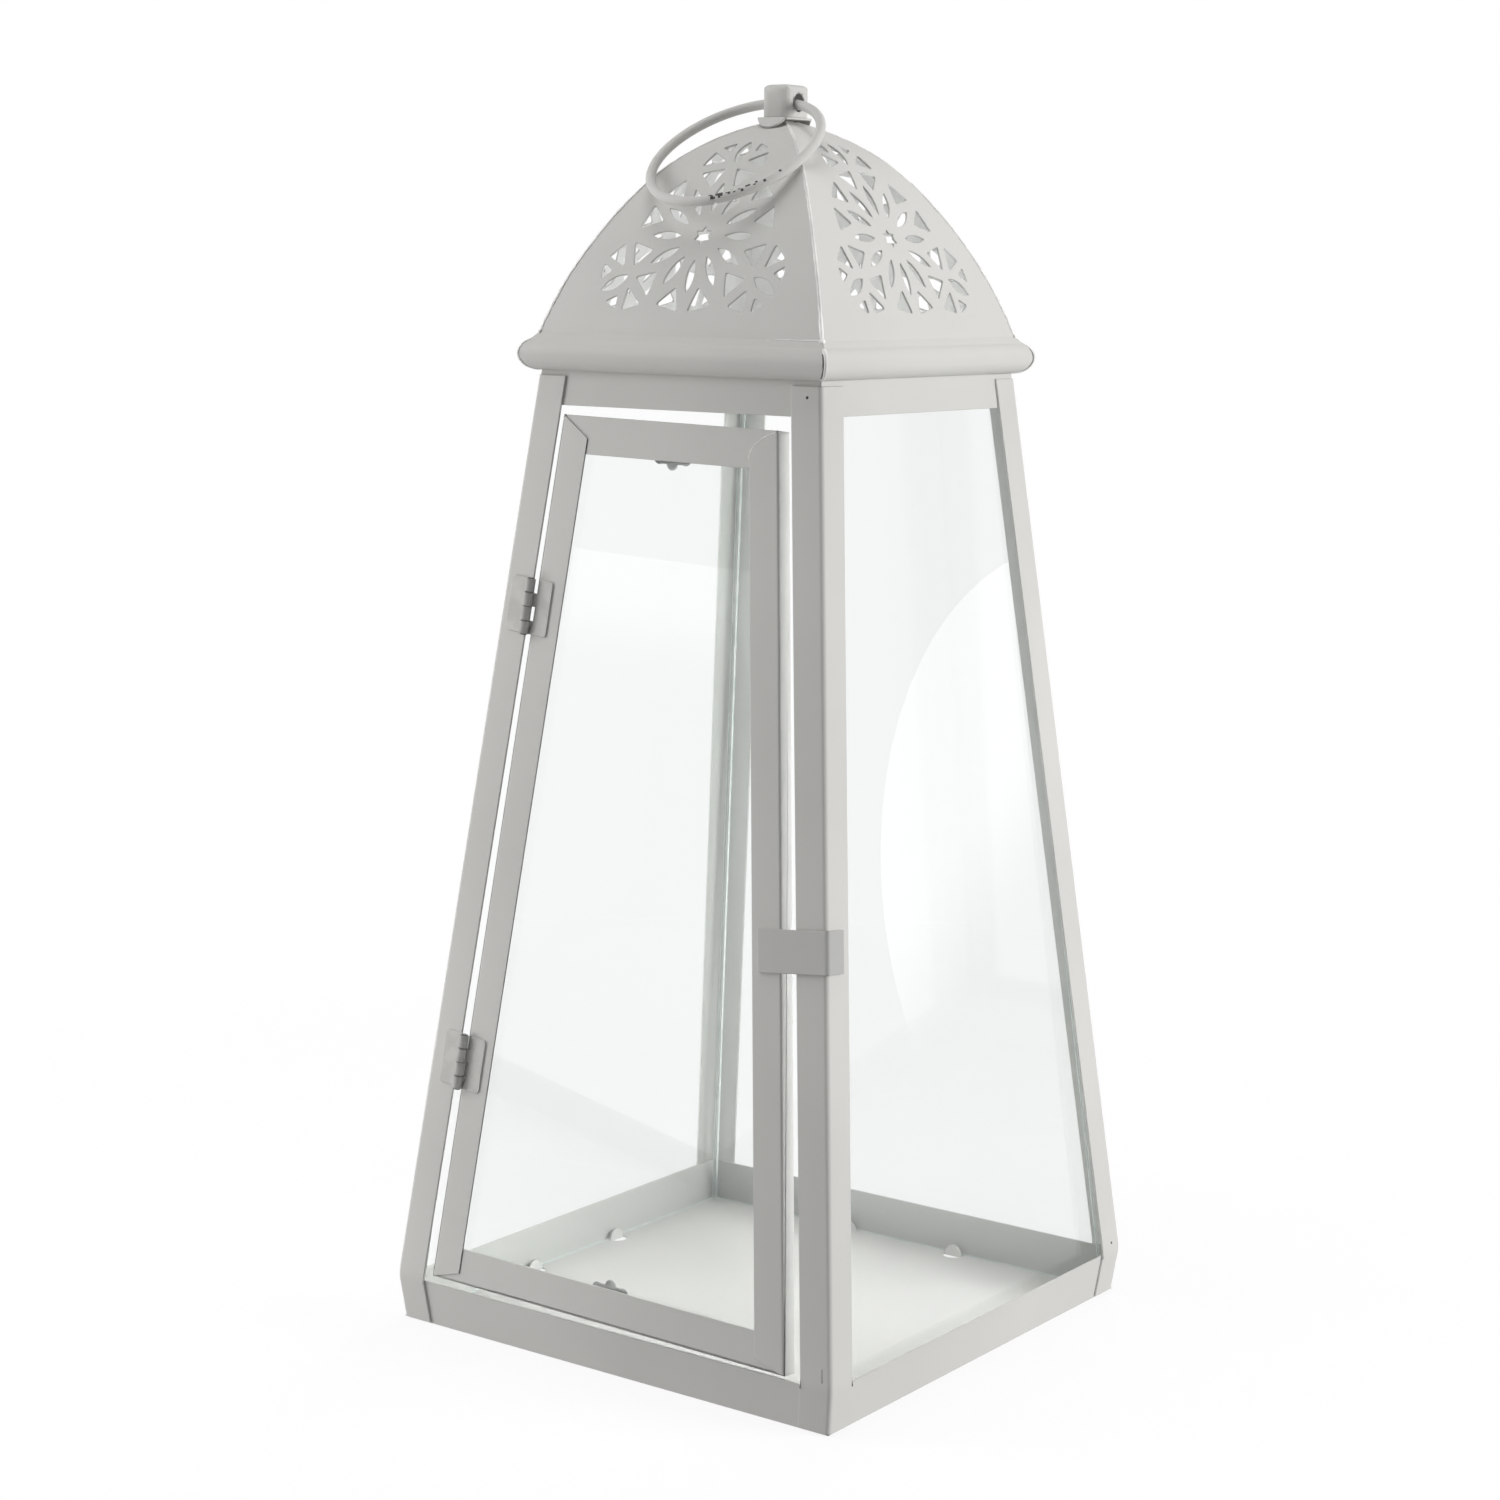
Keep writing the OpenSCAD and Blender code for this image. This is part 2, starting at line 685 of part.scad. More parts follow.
// Solid of the cap, moved in by inset all round and at its top
module cap_block(inset) {
    w = cap_w - 2 * inset;
    d = cap_d - 2 * inset;
    h = cap_h - inset;
    corner_r = cap_corner_r - inset;
    top_r = cap_top_r - inset;
    intersection() {
        rotate([90, 0, 0])
            linear_extrude(cap_d, center = true)
            round_top(w, h, top_r);
        rotate([90, 0, 90])
            linear_extrude(cap_w, center = true)
            round_top(d, h, top_r);
        linear_extrude(cap_h)
            union() {
                translate([-w / 2, corner_r - d / 2])
                    square([w, d - 2 * corner_r]);
                translate([corner_r - w / 2, -d / 2])
                    square([w - 2 * corner_r, d]);
                for (x = [corner_r - w / 2, w / 2 - corner_r], y = [corner_r - d / 2, d / 2 - corner_r])
                    translate([x, y])
                    circle(corner_r);
            }
    }
}

// Stamped cap on the crown plate, with a hole for the ring in each side
module crown_cap() {
    color(paint)
    difference() {
        translate([crown_right, cap_back, cap_z])
            difference() {
                cap_block(0);
                cap_block(cap_t);
            }
        translate([crown_right, 0, ring_z])
            rotate([0, 90, 0])
            cylinder(h = 2 * cap_w, r = hole_r, center = true);
    }
}

// Wire ring through the cap, fallen towards the door until it lies on the roof's ridges
module carrying_ring() {
    color(paint)
    translate([-ring_shift, 0, ring_z])
        rotate([ring_tilt, 0, 0])
        translate([0, -ring_r, 0])
        rotate_extrude()
        translate([ring_r, 0])
        circle(wire_d / 2);
}

// Solid on the front face, between two heights over that face
module plate_on_front(points, from, to) {
    on_side(FRONT)
        translate([0, 0, from])
        linear_extrude(to - from)
        polygon(points);
}

module door_stile_left() {
    fold = hinge_line(door_t)[0];
    color(paint) {
        plate_on_front([hinge_foot, hinge_top, hinge_mitre_top, hinge_mitre_foot], stile_back, door_proud);
        plate_on_front(
            [hinge_foot, hinge_top, fold + hinge_top - hinge_foot, fold],
            rail_face - door_d, stile_back + fold_lap
        );
    }
}

module door_stile_right() {
    fold = latch_line(door_t)[0];
    color(paint) {
        plate_on_front([latch_top, latch_foot, latch_mitre_foot, latch_mitre_top], stile_back, door_proud);
        plate_on_front(
            [latch_top, latch_foot, fold + latch_foot - latch_top, fold],
            rail_face - door_d, stile_back + fold_lap
        );
    }
}

module door_rail_top() {
    color(paint) {
        plate_on_front([
            crossing(hinge_line(door_t), top_line(0)),
            crossing(latch_line(door_t), top_line(0)),
            on_cut(latch_top, latch_mitre_top),
            latch_mitre_top,
            crossing(latch_line(stile_w), top_line(rail_top_w)),
            crossing(hinge_line(stile_w), top_line(rail_top_w)),
            hinge_mitre_top,
            on_cut(hinge_top, hinge_mitre_top)
        ], rail_back, rail_face);
        plate_on_front([
            crossing(hinge_line(door_t), top_line(0)),
            crossing(latch_line(door_t), top_line(0)),
            crossing(latch_line(door_t), top_line(door_t)),
            crossing(hinge_line(door_t), top_line(door_t))
        ], rail_face - door_d, rail_back + fold_lap);
    }
}

module door_rail_bottom() {
    color(paint) {
        plate_on_front([
            crossing(latch_line(door_t), foot_line(0)),
            crossing(hinge_line(door_t), foot_line(0)),
            on_cut(hinge_foot, hinge_mitre_foot),
            hinge_mitre_foot,
            crossing(hinge_line(stile_w), foot_line(rail_foot_w)),
            crossing(latch_line(stile_w), foot_line(rail_foot_w)),
            latch_mitre_foot,
            on_cut(latch_foot, latch_mitre_foot)
        ], rail_back, rail_face);
        plate_on_front([
            crossing(latch_line(door_t), foot_line(0)),
            crossing(hinge_line(door_t), foot_line(0)),
            crossing(hinge_line(door_t), foot_line(door_t)),
            crossing(latch_line(door_t), foot_line(door_t))
        ], rail_face - door_d, rail_back + fold_lap);
    }
}

module door_glass() {
    color(pane_tint)
        plate_on_front(door_inside(door_t + 2 * glass_clear), glass_back, rail_back);
}

// Stamped clip with three lobes behind the glass; line is the rail's outer edge, w the rail's width
module glass_clip(line, w) {
    middle = meet(line[0], line[1], [0, 0], [0, 1]);
    half = lobe_spread + lobe_r;
    root = lobe_r - lobe_side_reach - w;
    color(paint)
    on_side(FRONT)
        translate([middle.x, middle.y, glass_back - clip_t])
        rotate(atan2(line[1].y, line[1].x))
        linear_extrude(clip_t)
        union() {
            translate([-half, root])
                square([2 * half, -door_t - root]);
            translate([-lobe_spread, -w - web_reach])
                square([2 * lobe_spread, w + web_reach + root]);
            for (x = [-lobe_spread, lobe_spread])
                translate([x, root])
                circle(lobe_r);
            translate([0, lobe_r - lobe_reach - w])
                circle(lobe_r);
        }
}

module door_clip_top() {
    glass_clip(top_line(0), rail_top_w);
}

module door_clip_bottom() {
    glass_clip(foot_line(0), rail_foot_w);
}

// Strip soldered to the latch stile, across the post's corner and hooked along its side
module latch_strip() {
    color(paint)
    on_side(FRONT)
        translate([face_half(latch_z), up_face(latch_z), 0])
        rotate([0, 0, edge_turn])
        translate([0, -latch_w / 2, 0]) {
            translate([-latch_l, 0, door_proud])
                cube([latch_l + hook_clear + latch_t, latch_w, latch_t]);
            translate([hook_clear, 0, -hook_d])
                cube([latch_t, latch_w, hook_d + door_proud + latch_t]);
        }
}

// Puts its children on a hinge: x towards the door, y up the axis, z outwards from the axis
module on_hinge(which) {
    on_side(FRONT)
        translate([hinge_at[which].x, hinge_at[which].y, hinge_proud])
        rotate([0, 0, -axis_turn])
        children();
}

module along_axis(from, to, r) {
    translate([0, from, 0])
        rotate([-90, 0, 0])
        cylinder(h = to - from, r = r);
}

// Hinge leaf that reaches w along x, with its own knuckles, its back at height back
module hinge_leaf(w, back, own, other) {
    top = hinge_l / 2;
    color(paint)
    difference() {
        union() {
            difference() {
                translate([0, -top, back])
                    linear_extrude(leaf_t)
                    union() {
                        square([w - leaf_round, hinge_l]);
                        translate([0, leaf_round])
                            square([w, hinge_l - 2 * leaf_round]);
                        for (y = [leaf_round, hinge_l - leaf_round])
                            translate([w - leaf_round, y])
                            circle(leaf_round);
                    }
                for (i = other)
                    translate([-knuckle_r, top - (i + 1) * knuckle_pitch - knuckle_gap / 2, -2 * knuckle_d])
                    cube([2 * knuckle_r + notch_gap, knuckle_pitch + knuckle_gap, 2 * knuckle_d]);
            }
            for (i = own)
                along_axis(
                    top - (i + 1) * knuckle_pitch + knuckle_gap / 2,
                    top - i * knuckle_pitch - knuckle_gap / 2,
                    knuckle_r
                );
        }
        along_axis(-hinge_l, hinge_l, pin_d / 2 + pin_clear);
    }
}

module post_leaf(which) {
    on_hinge(which)
        mirror([1, 0, 0])
        hinge_leaf(post_leaf_w, -hinge_proud, post_knuckles, door_knuckles);
}

module door_leaf(which) {
    on_hinge(which)
        hinge_leaf(door_leaf_w, door_proud - hinge_proud, door_knuckles, post_knuckles);
}

module hinge_pin(which) {
    top = hinge_l / 2;
    color(paint)
    on_hinge(which) {
        along_axis(-top, top, pin_d / 2);
        along_axis(top, top + head_t, head_r);
        along_axis(-top - head_t, -top, head_r);
    }
}

base_tray();
corner_post(FRONT);  // corner_post_front_right
corner_post(RIGHT);  // corner_post_rear_right
corner_post(REAR);  // corner_post_rear_left
corner_post(LEFT);  // corner_post_front_left
fixed_pane(RIGHT);  // glass_right
fixed_pane(REAR);  // glass_rear
fixed_pane(LEFT);  // glass_left
pane_keepers();
roof_panel(FRONT);  // roof_panel_front
roof_panel(RIGHT);  // roof_panel_right
roof_panel(REAR);  // roof_panel_rear
roof_panel(LEFT);  // roof_panel_left
crown_plate();
crown_cap();
carrying_ring();
door_stile_left();
door_stile_right();
door_rail_top();
door_rail_bottom();
door_glass();
door_clip_top();
door_clip_bottom();
latch_strip();
post_leaf(HIGH);  // hinge_upper_post_leaf
door_leaf(HIGH);  // hinge_upper_door_leaf
hinge_pin(HIGH);  // hinge_upper_pin
post_leaf(LOW);  // hinge_lower_post_leaf
door_leaf(LOW);  // hinge_lower_door_leaf
hinge_pin(LOW);  // hinge_lower_pin
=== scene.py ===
"""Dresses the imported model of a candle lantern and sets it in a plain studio.

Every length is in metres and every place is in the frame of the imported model: +Z is up, the door
faces -Y and the origin is under the middle of the tray. Angles in fields are in degrees.
"""

import logging
import math
from dataclasses import dataclass
from enum import Enum
from typing import Callable, Sequence

import bmesh
import bpy
from mathutils import Matrix, Vector, noise


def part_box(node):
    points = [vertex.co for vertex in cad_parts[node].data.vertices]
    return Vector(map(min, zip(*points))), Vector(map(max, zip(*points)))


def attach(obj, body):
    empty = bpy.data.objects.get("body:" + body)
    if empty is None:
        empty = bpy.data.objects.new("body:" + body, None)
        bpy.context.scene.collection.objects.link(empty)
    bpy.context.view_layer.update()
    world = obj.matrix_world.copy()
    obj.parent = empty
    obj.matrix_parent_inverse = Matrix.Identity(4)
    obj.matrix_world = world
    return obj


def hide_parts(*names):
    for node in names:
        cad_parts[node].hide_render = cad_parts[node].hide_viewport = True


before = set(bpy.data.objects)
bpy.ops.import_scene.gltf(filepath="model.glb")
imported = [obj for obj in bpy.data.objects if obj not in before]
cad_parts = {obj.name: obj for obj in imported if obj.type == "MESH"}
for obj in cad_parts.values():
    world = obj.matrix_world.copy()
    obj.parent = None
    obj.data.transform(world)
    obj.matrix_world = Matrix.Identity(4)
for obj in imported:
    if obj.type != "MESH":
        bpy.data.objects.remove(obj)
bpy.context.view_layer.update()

log = logging.getLogger("lantern")

Colour = tuple[float, float, float]
Place = tuple[float, float, float]
Course = tuple[tuple[float, float], ...]
Station = tuple[float, float, float]
Rows = Sequence[Sequence[Vector]]
Piece = bpy.types.Object
Socket = bpy.types.NodeSocket
Feed = float | Sequence[float] | Socket
FoldRule = Callable[[Vector, Vector, float], float]

WHITE = (1.0, 1.0, 1.0, 1.0)
GLASS_IOR = 1.5
# The level of the white surroundings in reflections, where 1 is white.
MIRRORED_LEVEL = 0.5
# Degrees between two faces, from which their edge is rounded; higher where round forms are coarse.
SHARP_TURN = 28.0
CLEAR_TURN = 50.0
# Degrees between triangles that are joined into one flat face.
FLAT_TURN = 0.4
# Cosines of the angle to an axis, within which a face looks along it, or roughly along it.
FACING = 0.9
ASIDE = 0.7
WELD_GAP = 2e-6
FORM_SIDES = 28
# Share of the radius, and height, of each ring of the small round forms.
PIT: Course = ((1.0, -0.0001), (1.0, 0.00003), (0.8, 0.00007), (0.4, 0.00004))
SOLDER_DROP: Course = (
    (1.0, -0.0004), (0.95, 0.0001), (0.7, 0.00035), (0.3, 0.0005), (0.1, 0.00052),
)
# Share of the width or half-width, and height, of each point across the thin lines.
LINE_SECTION: Course = ((-1, -0.0001), (-1, 0.00003), (0, 0.00012), (1, 0.00003), (1, -0.0001))
CRACK_SECTION: Course = ((0, -0.0002), (0, 0.00005), (-1, 0.00005), (-1, -0.0002))
CORNERS = ("front_right", "rear_right", "rear_left", "front_left")


class Body(Enum):
    """The parts of the lantern that move as one."""

    FRAME = "frame"
    DOOR = "door"
    RING = "ring"


class Slot(Enum):
    """The record's material slots."""

    SHEET = "painted_sheet"
    GLASS = "clear_glass"
    WIRE = "painted_wire"


class SocketKind(Enum):
    """What a group's socket carries, under the name that a socket's own type has."""

    VALUE = "NodeSocketFloat"
    VECTOR = "NodeSocketVector"
    RGBA = "NodeSocketColor"


# ---------------------------------------------------------------- shader nodes


class Wiring:
    """A tree of shader nodes, with short ways to add to it."""

    def __init__(self, tree: bpy.types.NodeTree) -> None:
        """Takes up a tree."""
        self.tree = tree

    def add(
        self, kind: str, feeds: dict[str | int, Feed] | None = None, **settings: object
    ) -> bpy.types.Node:
        """Adds a node.

        Args:
            kind: The node's type, without ShaderNode before it.
            feeds: What its inputs get: a value, or the socket that is linked to them.
            **settings: Its other properties.

        Returns:
            The new node.
        """
        made = self.tree.nodes.new(f"ShaderNode{kind}")
        for name, value in settings.items():
            setattr(made, name, value)
        for key, value in (feeds or {}).items():
            if isinstance(value, Socket):
                self.tree.links.new(value, made.inputs[key])
            else:
                made.inputs[key].default_value = value
        return made

    def sum_of(self, kind: str, *values: Feed, clamp: bool = False) -> Socket:
        """Adds a Math node for an operation on two or three values and returns its socket."""
        node = self.add("Math", dict(enumerate(values)), operation=kind, use_clamp=clamp)
        return node.outputs["Value"]

    def dot(self, first: Feed, second: Feed) -> Socket:
        """Adds the dot product of two vectors and returns its socket."""
        node = self.add("VectorMath", {0: first, 1: second}, operation="DOT_PRODUCT")
        return node.outputs["Value"]

    def spread(
        self, value: Socket, low: Feed, high: Feed, start: float = 0.0, end: float = 1.0
    ) -> Socket:
        """Stretches low to high smoothly over start to end and returns the result's socket."""
        feeds = {"Value": value, "From Min": low, "From Max": high, "To Min": start, "To Max": end}
        return self.add("MapRange", feeds, interpolation_type="SMOOTHSTEP").outputs["Result"]

    def own_place(self) -> Socket:
        """Adds a point's place in its piece and returns its socket."""
        return self.add("TexCoord").outputs["Object"]

    def clouds(self, scale: Feed, detail: float) -> Socket:
        """Adds noise of so many patches per metre and octaves and returns its socket."""
        feeds = {"Vector": self.own_place(), "Scale": scale, "Detail": detail}
        return self.add("TexNoise", feeds).outputs["Fac"]

    def blend(self, share: Socket, first: Socket, second: Socket) -> Socket:
        """Mixes two colours, by the second one's share, and returns the mix's socket."""
        feeds = {"Factor": share, 6: first, 7: second}
        return self.add("Mix", feeds, data_type="RGBA").outputs[2]

    def bump(self, height: Socket, depth: float, normal: Socket | None = None) -> Socket:
        """Adds a Bump node.

        Args:
            height: The pattern that stands for height.
            depth: The height of its highest places.
            normal: The surface's normal before the bump.

        Returns:
            The bumped normal's socket.
        """
        feeds = {"Distance": depth, "Height": height}
        if normal is not None:
            feeds["Normal"] = normal
        return self.add("Bump", feeds).outputs["Normal"]

    def principled(self, roughness: float, feeds: dict[str, Feed]) -> Socket:
        """Adds the surface shader.

        Args:
            roughness: Its roughness where nothing is linked.
            feeds: What its inputs get.

        Returns:
            The shader's socket.
        """
        node = self.add("BsdfPrincipled", feeds)
        node.inputs["Roughness"].default_value = roughness
        return node.outputs["BSDF"]

    def white(self, level: Feed, kind: str = "Emission") -> Socket:
        """Adds a white glow, or with the kind Background a white sky, and returns its socket."""
        return self.add(kind, {"Color": WHITE, "Strength": level}).outputs[0]

    def either(self, share: Feed, first: Socket, second: Socket) -> Socket:
        """Mixes two shaders, by the second one's share, and returns the mix's socket."""
        return self.add("MixShader", {0: share, 1: first, 2: second}).outputs["Shader"]

    def seen_level(self) -> Socket:
        """Adds the level of the white surroundings: full, or dimmed where a surface mirrors them.

        Returns:
            The level's socket.
        """
        path = self.add("LightPath").outputs
        rays = (path["Is Glossy Ray"], path["Is Transmission Ray"])
        mirrored = self.sum_of("SUBTRACT", *rays, clamp=True)
        return self.sum_of("MULTIPLY_ADD", mirrored, MIRRORED_LEVEL - 1.0, 1.0)

    def seen_directly(self) -> Socket:
        """Adds a value that is 1 for what the camera, a reflection or a pane shows, and else 0.

        Returns:
            The value's socket.
        """
        path = self.add("LightPath").outputs
        shown = self.sum_of("MAXIMUM", path["Is Camera Ray"], path["Is Glossy Ray"])
        return self.sum_of("MAXIMUM", shown, path["Is Transmission Ray"])


class ShaderGroup(Wiring):
    """A node group with named sockets, built once and placed in many materials."""

    name = "group"
    takes: dict[str, Feed] = {}
    _trees: dict[type, bpy.types.NodeTree] = {}

    def __init__(self) -> None:
        """Makes the group with its inputs and lets the subclass fill it."""
        super().__init__(bpy.data.node_groups.new(self.name, "ShaderNodeTree"))
        kinds = {1: SocketKind.VALUE, 3: SocketKind.VECTOR, 4: SocketKind.RGBA}
        for name, value in self.takes.items():
            kind = kinds[len(value) if isinstance(value, tuple) else 1]
            self.socket(name, "INPUT", kind).default_value = value
        self.given = self.tree.nodes.new("NodeGroupInput").outputs
        self.outside = self.tree.nodes.new("NodeGroupOutput").inputs
        self.fill()

    def fill(self) -> None:
        """Adds the nodes; each subclass has its own."""

    def socket(self, name: str, way: str, kind: SocketKind) -> bpy.types.NodeTreeInterfaceSocket:
        """Adds a named socket, with the way INPUT or OUTPUT, and returns it."""
        return self.tree.interface.new_socket(name=name, in_out=way, socket_type=kind.value)

    def gives(self, **sources: Socket) -> None:
        """Adds the outputs.

        Args:
            **sources: The socket inside the group that each output passes on.
        """
        for name, source in sources.items():
            self.socket(name, "OUTPUT", SocketKind[source.type])
            self.tree.links.new(source, self.outside[name])

    @classmethod
    def placed(cls, nodes: Wiring, feeds: dict[str, Feed]) -> bpy.types.NodeOutputs:
        """Places the group in a material, and builds it on first use.

        Args:
            nodes: The material's nodes.
            feeds: What the group's inputs get.

        Returns:
            The group's outputs.
        """
        if cls not in cls._trees:
            cls._trees[cls] = cls().tree
        return nodes.add("Group", feeds, node_tree=cls._trees[cls]).outputs


class PaintFilm(ShaderGroup):
    """Sprayed paint: soft patches of tone, a fine orange-peel grain and a few dark specks."""

    name = "paint_film"
    takes = {
        "Colour": (0.6, 0.6, 0.6, 1),
        "Patch Colour": (0.5, 0.5, 0.5, 1),
        "Speck Colour": (0.2, 0.2, 0.2, 1),
        "Patch Scale": 12.0,
        "Grain Scale": 900.0,
        "Speck Amount": 0.3,
        "Roughness": 0.45,
        "Roughness Spread": 0.08,
    }
    patch_limits = (0.35, 0.7)
    speck_scale = 1900.0
    speck_limits = (0.74, 0.8)

    def fill(self) -> None:
        """Adds the film's patterns."""
        given = self.given
        patches = self.spread(self.clouds(given["Patch Scale"], detail=4.0), *self.patch_limits)
        grain = self.clouds(given["Grain Scale"], detail=3.0)
        specks = self.spread(self.clouds(self.speck_scale, detail=1.0), *self.speck_limits)
        amount = self.sum_of("MULTIPLY", specks, given["Speck Amount"])
        toned = self.blend(patches, given["Colour"], given["Patch Colour"])
        swing = self.sum_of("SUBTRACT", grain, 0.5)
        rise = self.sum_of("MULTIPLY", swing, given["Roughness Spread"])
        self.gives(
            Colour=self.blend(amount, toned, given["Speck Colour"]),
            Roughness=self.sum_of("ADD", given["Roughness"], rise),
            Height=grain,
        )


class EdgeTone(ShaderGroup):
    """Finds edges and folds, where paint lies thin and has a tone of its own."""

    name = "edge_tone"
    takes = {
        "Colour": (0.6, 0.6, 0.6, 1),
        "Edge Colour": (0.8, 0.8, 0.8, 1),
        "Radius": 0.0005,
        "Amount": 0.5,
        "Least": 0.3,
        "Most": 0.65,
    }
    turn_limits = (0.01, 0.2)
    ragged_scale = 420.0

    def fill(self) -> None:
        """Adds the edge finder's nodes."""
        given = self.given
        soft = self.add("Bevel", {"Radius": given["Radius"]}, samples=4).outputs["Normal"]
        meeting = self.dot(soft, self.add("NewGeometry").outputs["Normal"])
        edge = self.spread(self.sum_of("SUBTRACT", 1.0, meeting), *self.turn_limits)
        pattern = self.clouds(self.ragged_scale, detail=3.0)
        ragged = self.spread(pattern, given["Least"], given["Most"])
        share = self.sum_of("MULTIPLY", self.sum_of("MULTIPLY", edge, ragged), given["Amount"])
        self.gives(Colour=self.blend(share, given["Colour"], given["Edge Colour"]), Normal=soft)


class InnerPaintedLight(ShaderGroup):
    """Gives the faces that look towards the inside of the roof another colour: painted light, near
    white in use, for the light inside the roof.
    """

    name = "inner_painted_light"
    takes = {
        "Colour": (0.6, 0.6, 0.6, 1),
        "Painted Light Colour": (0.8, 0.8, 0.8, 1),
        "Middle": (0.0, 0.0, 0.0),
    }
    inward_limits = (0.3, 0.5)

    def fill(self) -> None:
        """Adds the test of which way a face looks."""
        given = self.given
        feeds = {0: self.own_place(), 1: given["Middle"]}
        away = self.add("VectorMath", feeds, operation="SUBTRACT").outputs["Vector"]
        way = self.add("VectorMath", {0: away}, operation="NORMALIZE").outputs["Vector"]
        outward = self.dot(way, self.add("NewGeometry").outputs["True Normal"])
        inner = self.spread(self.sum_of("MULTIPLY", outward, -1.0), *self.inward_limits)
        self.gives(Colour=self.blend(inner, given["Colour"], given["Painted Light Colour"]))


class Smear(ShaderGroup):
    """Faint wiping marks on glass, as a small change of roughness."""

    name = "smear"
    takes = {"Least": 0.0, "Most": 0.03}
    mark_scale = 22.0
    mark_limits = (0.5, 0.75)

    def fill(self) -> None:
        """Adds the smear's pattern."""
        given = self.given
        marks = self.spread(self.clouds(self.mark_scale, detail=5.0), *self.mark_limits)
        room = self.sum_of("SUBTRACT", given["Most"], given["Least"])
        self.gives(Roughness=self.sum_of("MULTIPLY_ADD", marks, room, given["Least"]))


# ---------------------------------------------------------------- finishes


def opaque(colour: Colour, level: float = 1.0) -> tuple[float, float, float, float]:
    """Returns a colour times a level, with an alpha of 1."""
    return (colour[0] * level, colour[1] * level, colour[2] * level, 1.0)


class Finish:
    """A look, whose one material is made on first use."""

    name: str
    _made: dict[str, bpy.types.Material] = {}

    @property
    def material(self) -> bpy.types.Material:
        """The finish's material."""
        if self.name not in self._made:
            made = bpy.data.materials.new(self.name)
            made.use_nodes = True
            made.node_tree.nodes.clear()
            nodes = Wiring(made.node_tree)
            nodes.add("OutputMaterial", {"Surface": self.surface(nodes)})
            self._made[self.name] = made
        return self._made[self.name]

    def surface(self, nodes: Wiring) -> Socket:
        """Adds the look's nodes and returns its shader; each finish has its own."""
        raise NotImplementedError


@dataclass(frozen=True)
class SatinPaint(Finish):
    """Satin paint on metal."""

    name: str
    colour: Colour
    roughness: float = 0.42
    gloss: float = 0.45
    grain_scale: float = 1100.0
    grain_depth: float = 0.00003
    patch_level: float = 0.94
    patch_scale: float = 12.0
    edge_level: float = 1.14
    edge_radius: float = 0.0004
    edge_amount: float = 0.35
    edge_least: float = 0.3
    edge_most: float = 0.65
    speck_level: float = 0.45
    speck_amount: float = 0.12
    # Colour of the faces inside the roof: painted light there.
    inner: Colour | None = None
    middle: Place = (0.0, 0.0, 0.31)

    def surface(self, nodes: Wiring) -> Socket:
        """Adds the paint's film and its edges.

        Args:
            nodes: The material's nodes.

        Returns:
            The shader's socket.
        """
        film = PaintFilm.placed(nodes, {
            "Colour": opaque(self.colour),
            "Patch Colour": opaque(self.colour, self.patch_level),
            "Speck Colour": opaque(self.colour, self.speck_level),
            "Patch Scale": self.patch_scale,
            "Grain Scale": self.grain_scale,
            "Speck Amount": self.speck_amount,
            "Roughness": self.roughness,
        })
        toned = film["Colour"]
        # Painted light: faces inside the roof take the lighter colour.
        if self.inner is not None:
            feeds = {"Colour": toned, "Painted Light Colour": opaque(self.inner), "Middle": self.middle}
            toned = InnerPaintedLight.placed(nodes, feeds)["Colour"]
        edge = EdgeTone.placed(nodes, {
            "Colour": toned,
            "Edge Colour": opaque(self.colour, self.edge_level),
            "Radius": self.edge_radius,
            "Amount": self.edge_amount,
            "Least": self.edge_least,
            "Most": self.edge_most,
        })
        return nodes.principled(self.roughness, {
            "Base Color": edge["Colour"],
            "Roughness": film["Roughness"],
            "Specular IOR Level": self.gloss,
            "Normal": nodes.bump(film["Height"], self.grain_depth, edge["Normal"]),
        })


@dataclass(frozen=True)
class ClearGlass(Finish):
    """Window glass that lets the lamps' light through."""

    name: str
    tint: Colour
    shade: Colour
    roughness: float = 0.0
    most_smear: float = 0.02

    def surface(self, nodes: Wiring) -> Socket:
        """Adds the glass and its lighter shadow.

        Args:
            nodes: The material's nodes.

        Returns:
            The shader's socket.
        """
        glass = nodes.principled(self.roughness, {
            "Base Color": opaque(self.tint),
            "Roughness": Smear.placed(nodes, {"Most": self.most_smear})["Roughness"],
            "IOR": GLASS_IOR,
            "Transmission Weight": 1.0,
        })
        clear = nodes.add("BsdfTransparent", {"Color": opaque(self.shade)}).outputs["BSDF"]
        return nodes.either(nodes.add("LightPath").outputs["Is Shadow Ray"], glass, clear)


@dataclass(frozen=True)
class GroundEdge(Finish):
    """The cut and ground edge of a pane: frosted, greener and a little chipped; its near-white
    chips are partly painted highlight, standing in for glints.
    """

    name: str
    colour: Colour
    chip_and_glint_colour: Colour
    roughness: float = 0.5
    speck_level: float = 0.35
    chip_depth: float = 0.0002

    def surface(self, nodes: Wiring) -> Socket:
        """Adds the frosting and its chips.

        Args:
            nodes: The material's nodes.

        Returns:
            The shader's socket.
        """
        film = PaintFilm.placed(nodes, {
            "Colour": opaque(self.colour),
            "Patch Colour": opaque(self.chip_and_glint_colour),
            "Speck Colour": opaque(self.colour, self.speck_level),
            "Patch Scale": 240.0,
            "Grain Scale": 1500.0,
            "Speck Amount": 0.8,
            "Roughness": 0.45,
            "Roughness Spread": 0.4,
        })
        return nodes.principled(self.roughness, {
            "Base Color": film["Colour"],
            "Roughness": film["Roughness"],
            "IOR": GLASS_IOR,
            "Transmission Weight": 0.45,
            "Normal": nodes.bump(film["Height"], self.chip_depth),
        })


